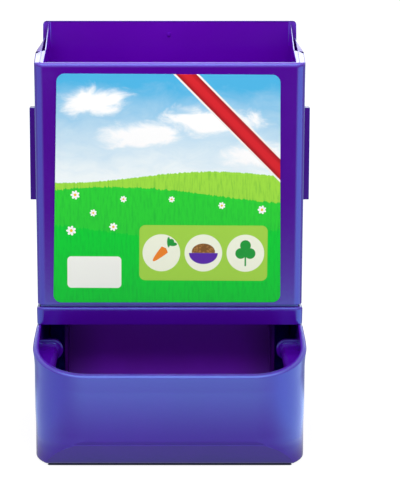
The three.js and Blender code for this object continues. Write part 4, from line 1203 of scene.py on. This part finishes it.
floorLook = {
    "half": 6000.0, "height": -0.4, "colour": "f4f4f4", "glow": 1.12, "bounce": 0.5, "bounceShare": 0.5,
    "shadowBack": 10.0, "shadowRange": (130.0, 260.0), "shadowShare": 0.2,
    "contactHalf": 58.8, "contactFront": 34.4, "contactBack": -60.0, "contactRange": (1.7, 0.7),
    "footShadowColour": "1c2350",  # painted contact shadow under the foot
    "nearGlow": 0.45, "poolGlow": 2.0, "poolRange": (60.0, 230.0),  # light on the floor, seen in gloss
    "dimRange": (240.0, 430.0), "dimShare": 0.78, "darkRange": (380.0, 800.0),
    "asideFrom": 67.0, "asideNear": 60.0, "asideRange": (0.0, 0.7), "behindRange": (-60.0, -120.0),
    "behindGlow": 0.75, "sideGlow": 1.8, "sideColour": "c6dcff", "leftShare": 0.85, "rightShare": 0.5,
    "sideRange": (-100.0, 100.0), "brightest": 4.0,
}


def paleFloor():
    look, half, height = floorLook, floorLook["half"], floorLook["height"]
    white, black = (1, 1, 1, 1), (0, 0, 0, 1)
    mesh = bpy.data.meshes.new("paleFloor")
    corners = [(-half, -half, height), (half, -half, height), (half, half, height), (-half, half, height)]
    mesh.from_pydata([place(corner) for corner in corners], [], [(0, 1, 2, 3)])
    floor = newPiece("paleFloor", mesh, outward=False)
    finish = Finish("paleFloorPaint")
    seen, mirrored = finish.rays()
    ahead = frontY / mm - finish.back  # in front of the bin

    # a bright floor that keeps a little shadow round the feeder, and a painted contact shadow, a dark line under its
    # foot
    before = ahead + look["shadowBack"]
    reach = (finish.across * finish.across + before * before).root()
    bright = finish.node("ShaderNodeEmission", None, {"Color": white, "Strength": look["glow"]})
    # painted contact shadow: the floor turns dark right at the feeder's foot
    beside = (abs(finish.across) - look["contactHalf"]).highest(0.0)
    before = (ahead - look["contactFront"]).highest(look["contactBack"] - ahead).highest(0.0)
    footShadow = (beside * beside + before * before).root().ramp(*look["contactRange"])
    shadowedGround = finish.mix(footShadow, paint(look["colour"]), paint(look["footShadowColour"]))
    lit = finish.node("ShaderNodeBsdfDiffuse", None, {"Color": shadowedGround})
    far = reach.ramp(*look["shadowRange"])
    share = seen * (1.0 - ((1.0 - far) * look["shadowShare"]).highest(footShadow))
    shown = finish.node("ShaderNodeMixShader", None, {0: share, 1: lit.outputs[0], 2: bright.outputs[0]})
    bounce = finish.node("ShaderNodeEmission", None, {"Color": white, "Strength": look["bounce"]})
    shown = finish.node("ShaderNodeMixShader", None, {
        0: (1.0 - seen) * look["bounceShare"], 1: shown.outputs[0], 2: bounce.outputs[0]})

    # in gloss the floor is a pool of light that fades towards the camera and stays white at the sides
    pool = look["nearGlow"] + ahead.ramp(*look["poolRange"]) * look["poolGlow"]
    pool = pool * (1.0 - ahead.ramp(*look["dimRange"]) * look["dimShare"])
    pool = pool * (1.0 - ahead.ramp(*look["darkRange"]))
    aside = (abs(finish.across) - look["asideFrom"]) / (ahead.highest(0.0) + look["asideNear"])
    aside = aside.ramp(*look["asideRange"])
    behind = ahead.ramp(*look["behindRange"])
    side = look["sideGlow"] * (look["leftShare"] + finish.across.ramp(*look["sideRange"]) * look["rightShare"])
    pool = pool * (1.0 - aside) + aside * side
    pool = pool * (1.0 - behind) + behind * look["behindGlow"]
    tint = finish.mix(aside.highest(behind), white, paint(look["sideColour"]))
    tint = finish.mix(pool / look["brightest"], black, tint)
    glow = finish.node("ShaderNodeEmission", None, {"Color": tint, "Strength": look["brightest"]})
    shown = finish.node("ShaderNodeMixShader", None, {0: mirrored, 1: shown.outputs[0], 2: glow.outputs[0]})
    finish.node("ShaderNodeOutputMaterial", None, {"Surface": shown.outputs[0]})
    mesh.materials.append(finish.material)
    return floor


worldLook = {
    "fill": 0.5, "backRange": (-0.05, 0.3), "backGlow": 1.2, "edgeRange": (0.25, 0.55), "edgeShare": 0.7,
    "boxRange": (0.34, 0.42), "boxTop": (0.58, 0.63), "boxGlow": 4.0,
    "leftShare": 0.5, "rightShare": 0.7, "rightRange": (-0.15, 0.15), "underShare": 0.3, "aboveShare": 0.7,
    "sideRange": (0.35, 0.8), "sideTop": (0.3, 0.8), "sideGlow": 1.8, "sideShare": 0.4,
    "halfway": (-0.02, 0.02), "topGlow": 3.7, "topRange": (0.75, 0.98), "topLow": (0.0, 0.3), "topLowShare": 0.2,
    "topBack": (0.56, 0.7), "topBackShare": 0.35,
}


def studioWorld():
    look = worldLook
    world = bpy.data.worlds.new("studioWorld")
    bpy.context.scene.world = world
    world.use_nodes = True
    graph = Graph(world.node_tree)
    graph.tree.nodes.clear()
    seen, mirrored = graph.rays()
    aim = graph.node("ShaderNodeSeparateXYZ", None, {"Vector": graph.node("ShaderNodeTexCoord").outputs["Generated"]})
    across, back, up = [graph.value(aim, axis) for axis in ("X", "Y", "Z")]
    # a soft box behind, a bright ceiling, white sides, and a dark room behind the camera
    above = 1.0 - up.ramp(*look["boxTop"])
    box = up.ramp(*look["boxRange"]) * above * look["boxGlow"]
    straight = 1.0 - abs(across).ramp(*look["edgeRange"]) * look["edgeShare"]
    rightward = look["leftShare"] + across.ramp(*look["rightRange"]) * look["rightShare"]
    wall = look["backGlow"] * rightward * (look["underShare"] + above * look["aboveShare"])
    glow = back.ramp(*look["backRange"]) * straight * (box + wall)
    sides = abs(across).ramp(*look["sideRange"]) * (1.0 - up.ramp(*look["sideTop"]))
    glow = glow.highest(sides * look["sideGlow"] * look["sideShare"])
    isBack = back.ramp(*look["halfway"])
    ceiling = (up.ramp(*look["topLow"]) * look["topLowShare"] + up.ramp(*look["topRange"])) * (1.0 - isBack)
    ceiling = ceiling + up.ramp(*look["topBack"]) * isBack * look["topBackShare"]
    glow = glow.highest(ceiling * look["topGlow"])
    strength = seen.highest(mirrored * glow).highest((1.0 - seen) * (1.0 - mirrored) * look["fill"])
    background = graph.node("ShaderNodeBackground", None, {"Color": (1, 1, 1, 1), "Strength": strength})
    graph.node("ShaderNodeOutputWorld", None, {"Surface": background.outputs[0]})


lampLook = {
    "key": {"at": (-350, -560, 820), "size": 500, "power": 1.8},
    "side": {"at": (520, -300, 650), "size": 450, "power": 0.9},
    "front": {"at": (60, -560, 860), "size": 380, "power": 3.0},
    "inside": {"at": (0, 8, 330), "size": 90, "power": 0.28, "aim": (0, 66, 195)},  # over the mouth of the bin
}


def lamp(name, at, size, power, aim=(0, 0, 110)):
    data = bpy.data.lights.new(name, "AREA")
    data.shape, data.size, data.energy = "SQUARE", size * mm, power
    obj = bpy.data.objects.new(name, data)
    obj.location = place(at)
    obj.rotation_euler = (place(aim) - obj.location).to_track_quat("-Z", "Y").to_euler()
    obj.visible_glossy = obj.visible_camera = False
    bpy.context.scene.collection.objects.link(obj)


cameraLook = {
    "at": (0.0, -943.3, 266.9), "tilt": 80.0, "sensor": 36.0, "lens": 137.95, "shift": 0.0606, "clip": (0.05, 20.0),
}


def photoCamera():
    look = cameraLook
    data = bpy.data.cameras.new("photoCamera")
    data.sensor_width, data.lens, data.shift_x = look["sensor"], look["lens"], look["shift"]
    data.clip_start, data.clip_end = look["clip"]
    obj = bpy.data.objects.new("photoCamera", data)
    obj.location = place(look["at"])
    obj.rotation_euler = (math.radians(look["tilt"]), 0.0, 0.0)
    bpy.context.scene.collection.objects.link(obj)
    bpy.context.scene.camera = obj


paleFloor()
studioWorld()
for lampName, lampValues in lampLook.items():
    lamp(lampName + "Lamp", **lampValues)
photoCamera()
bpy.context.scene.view_settings.view_transform = "Standard"
print("stage set")
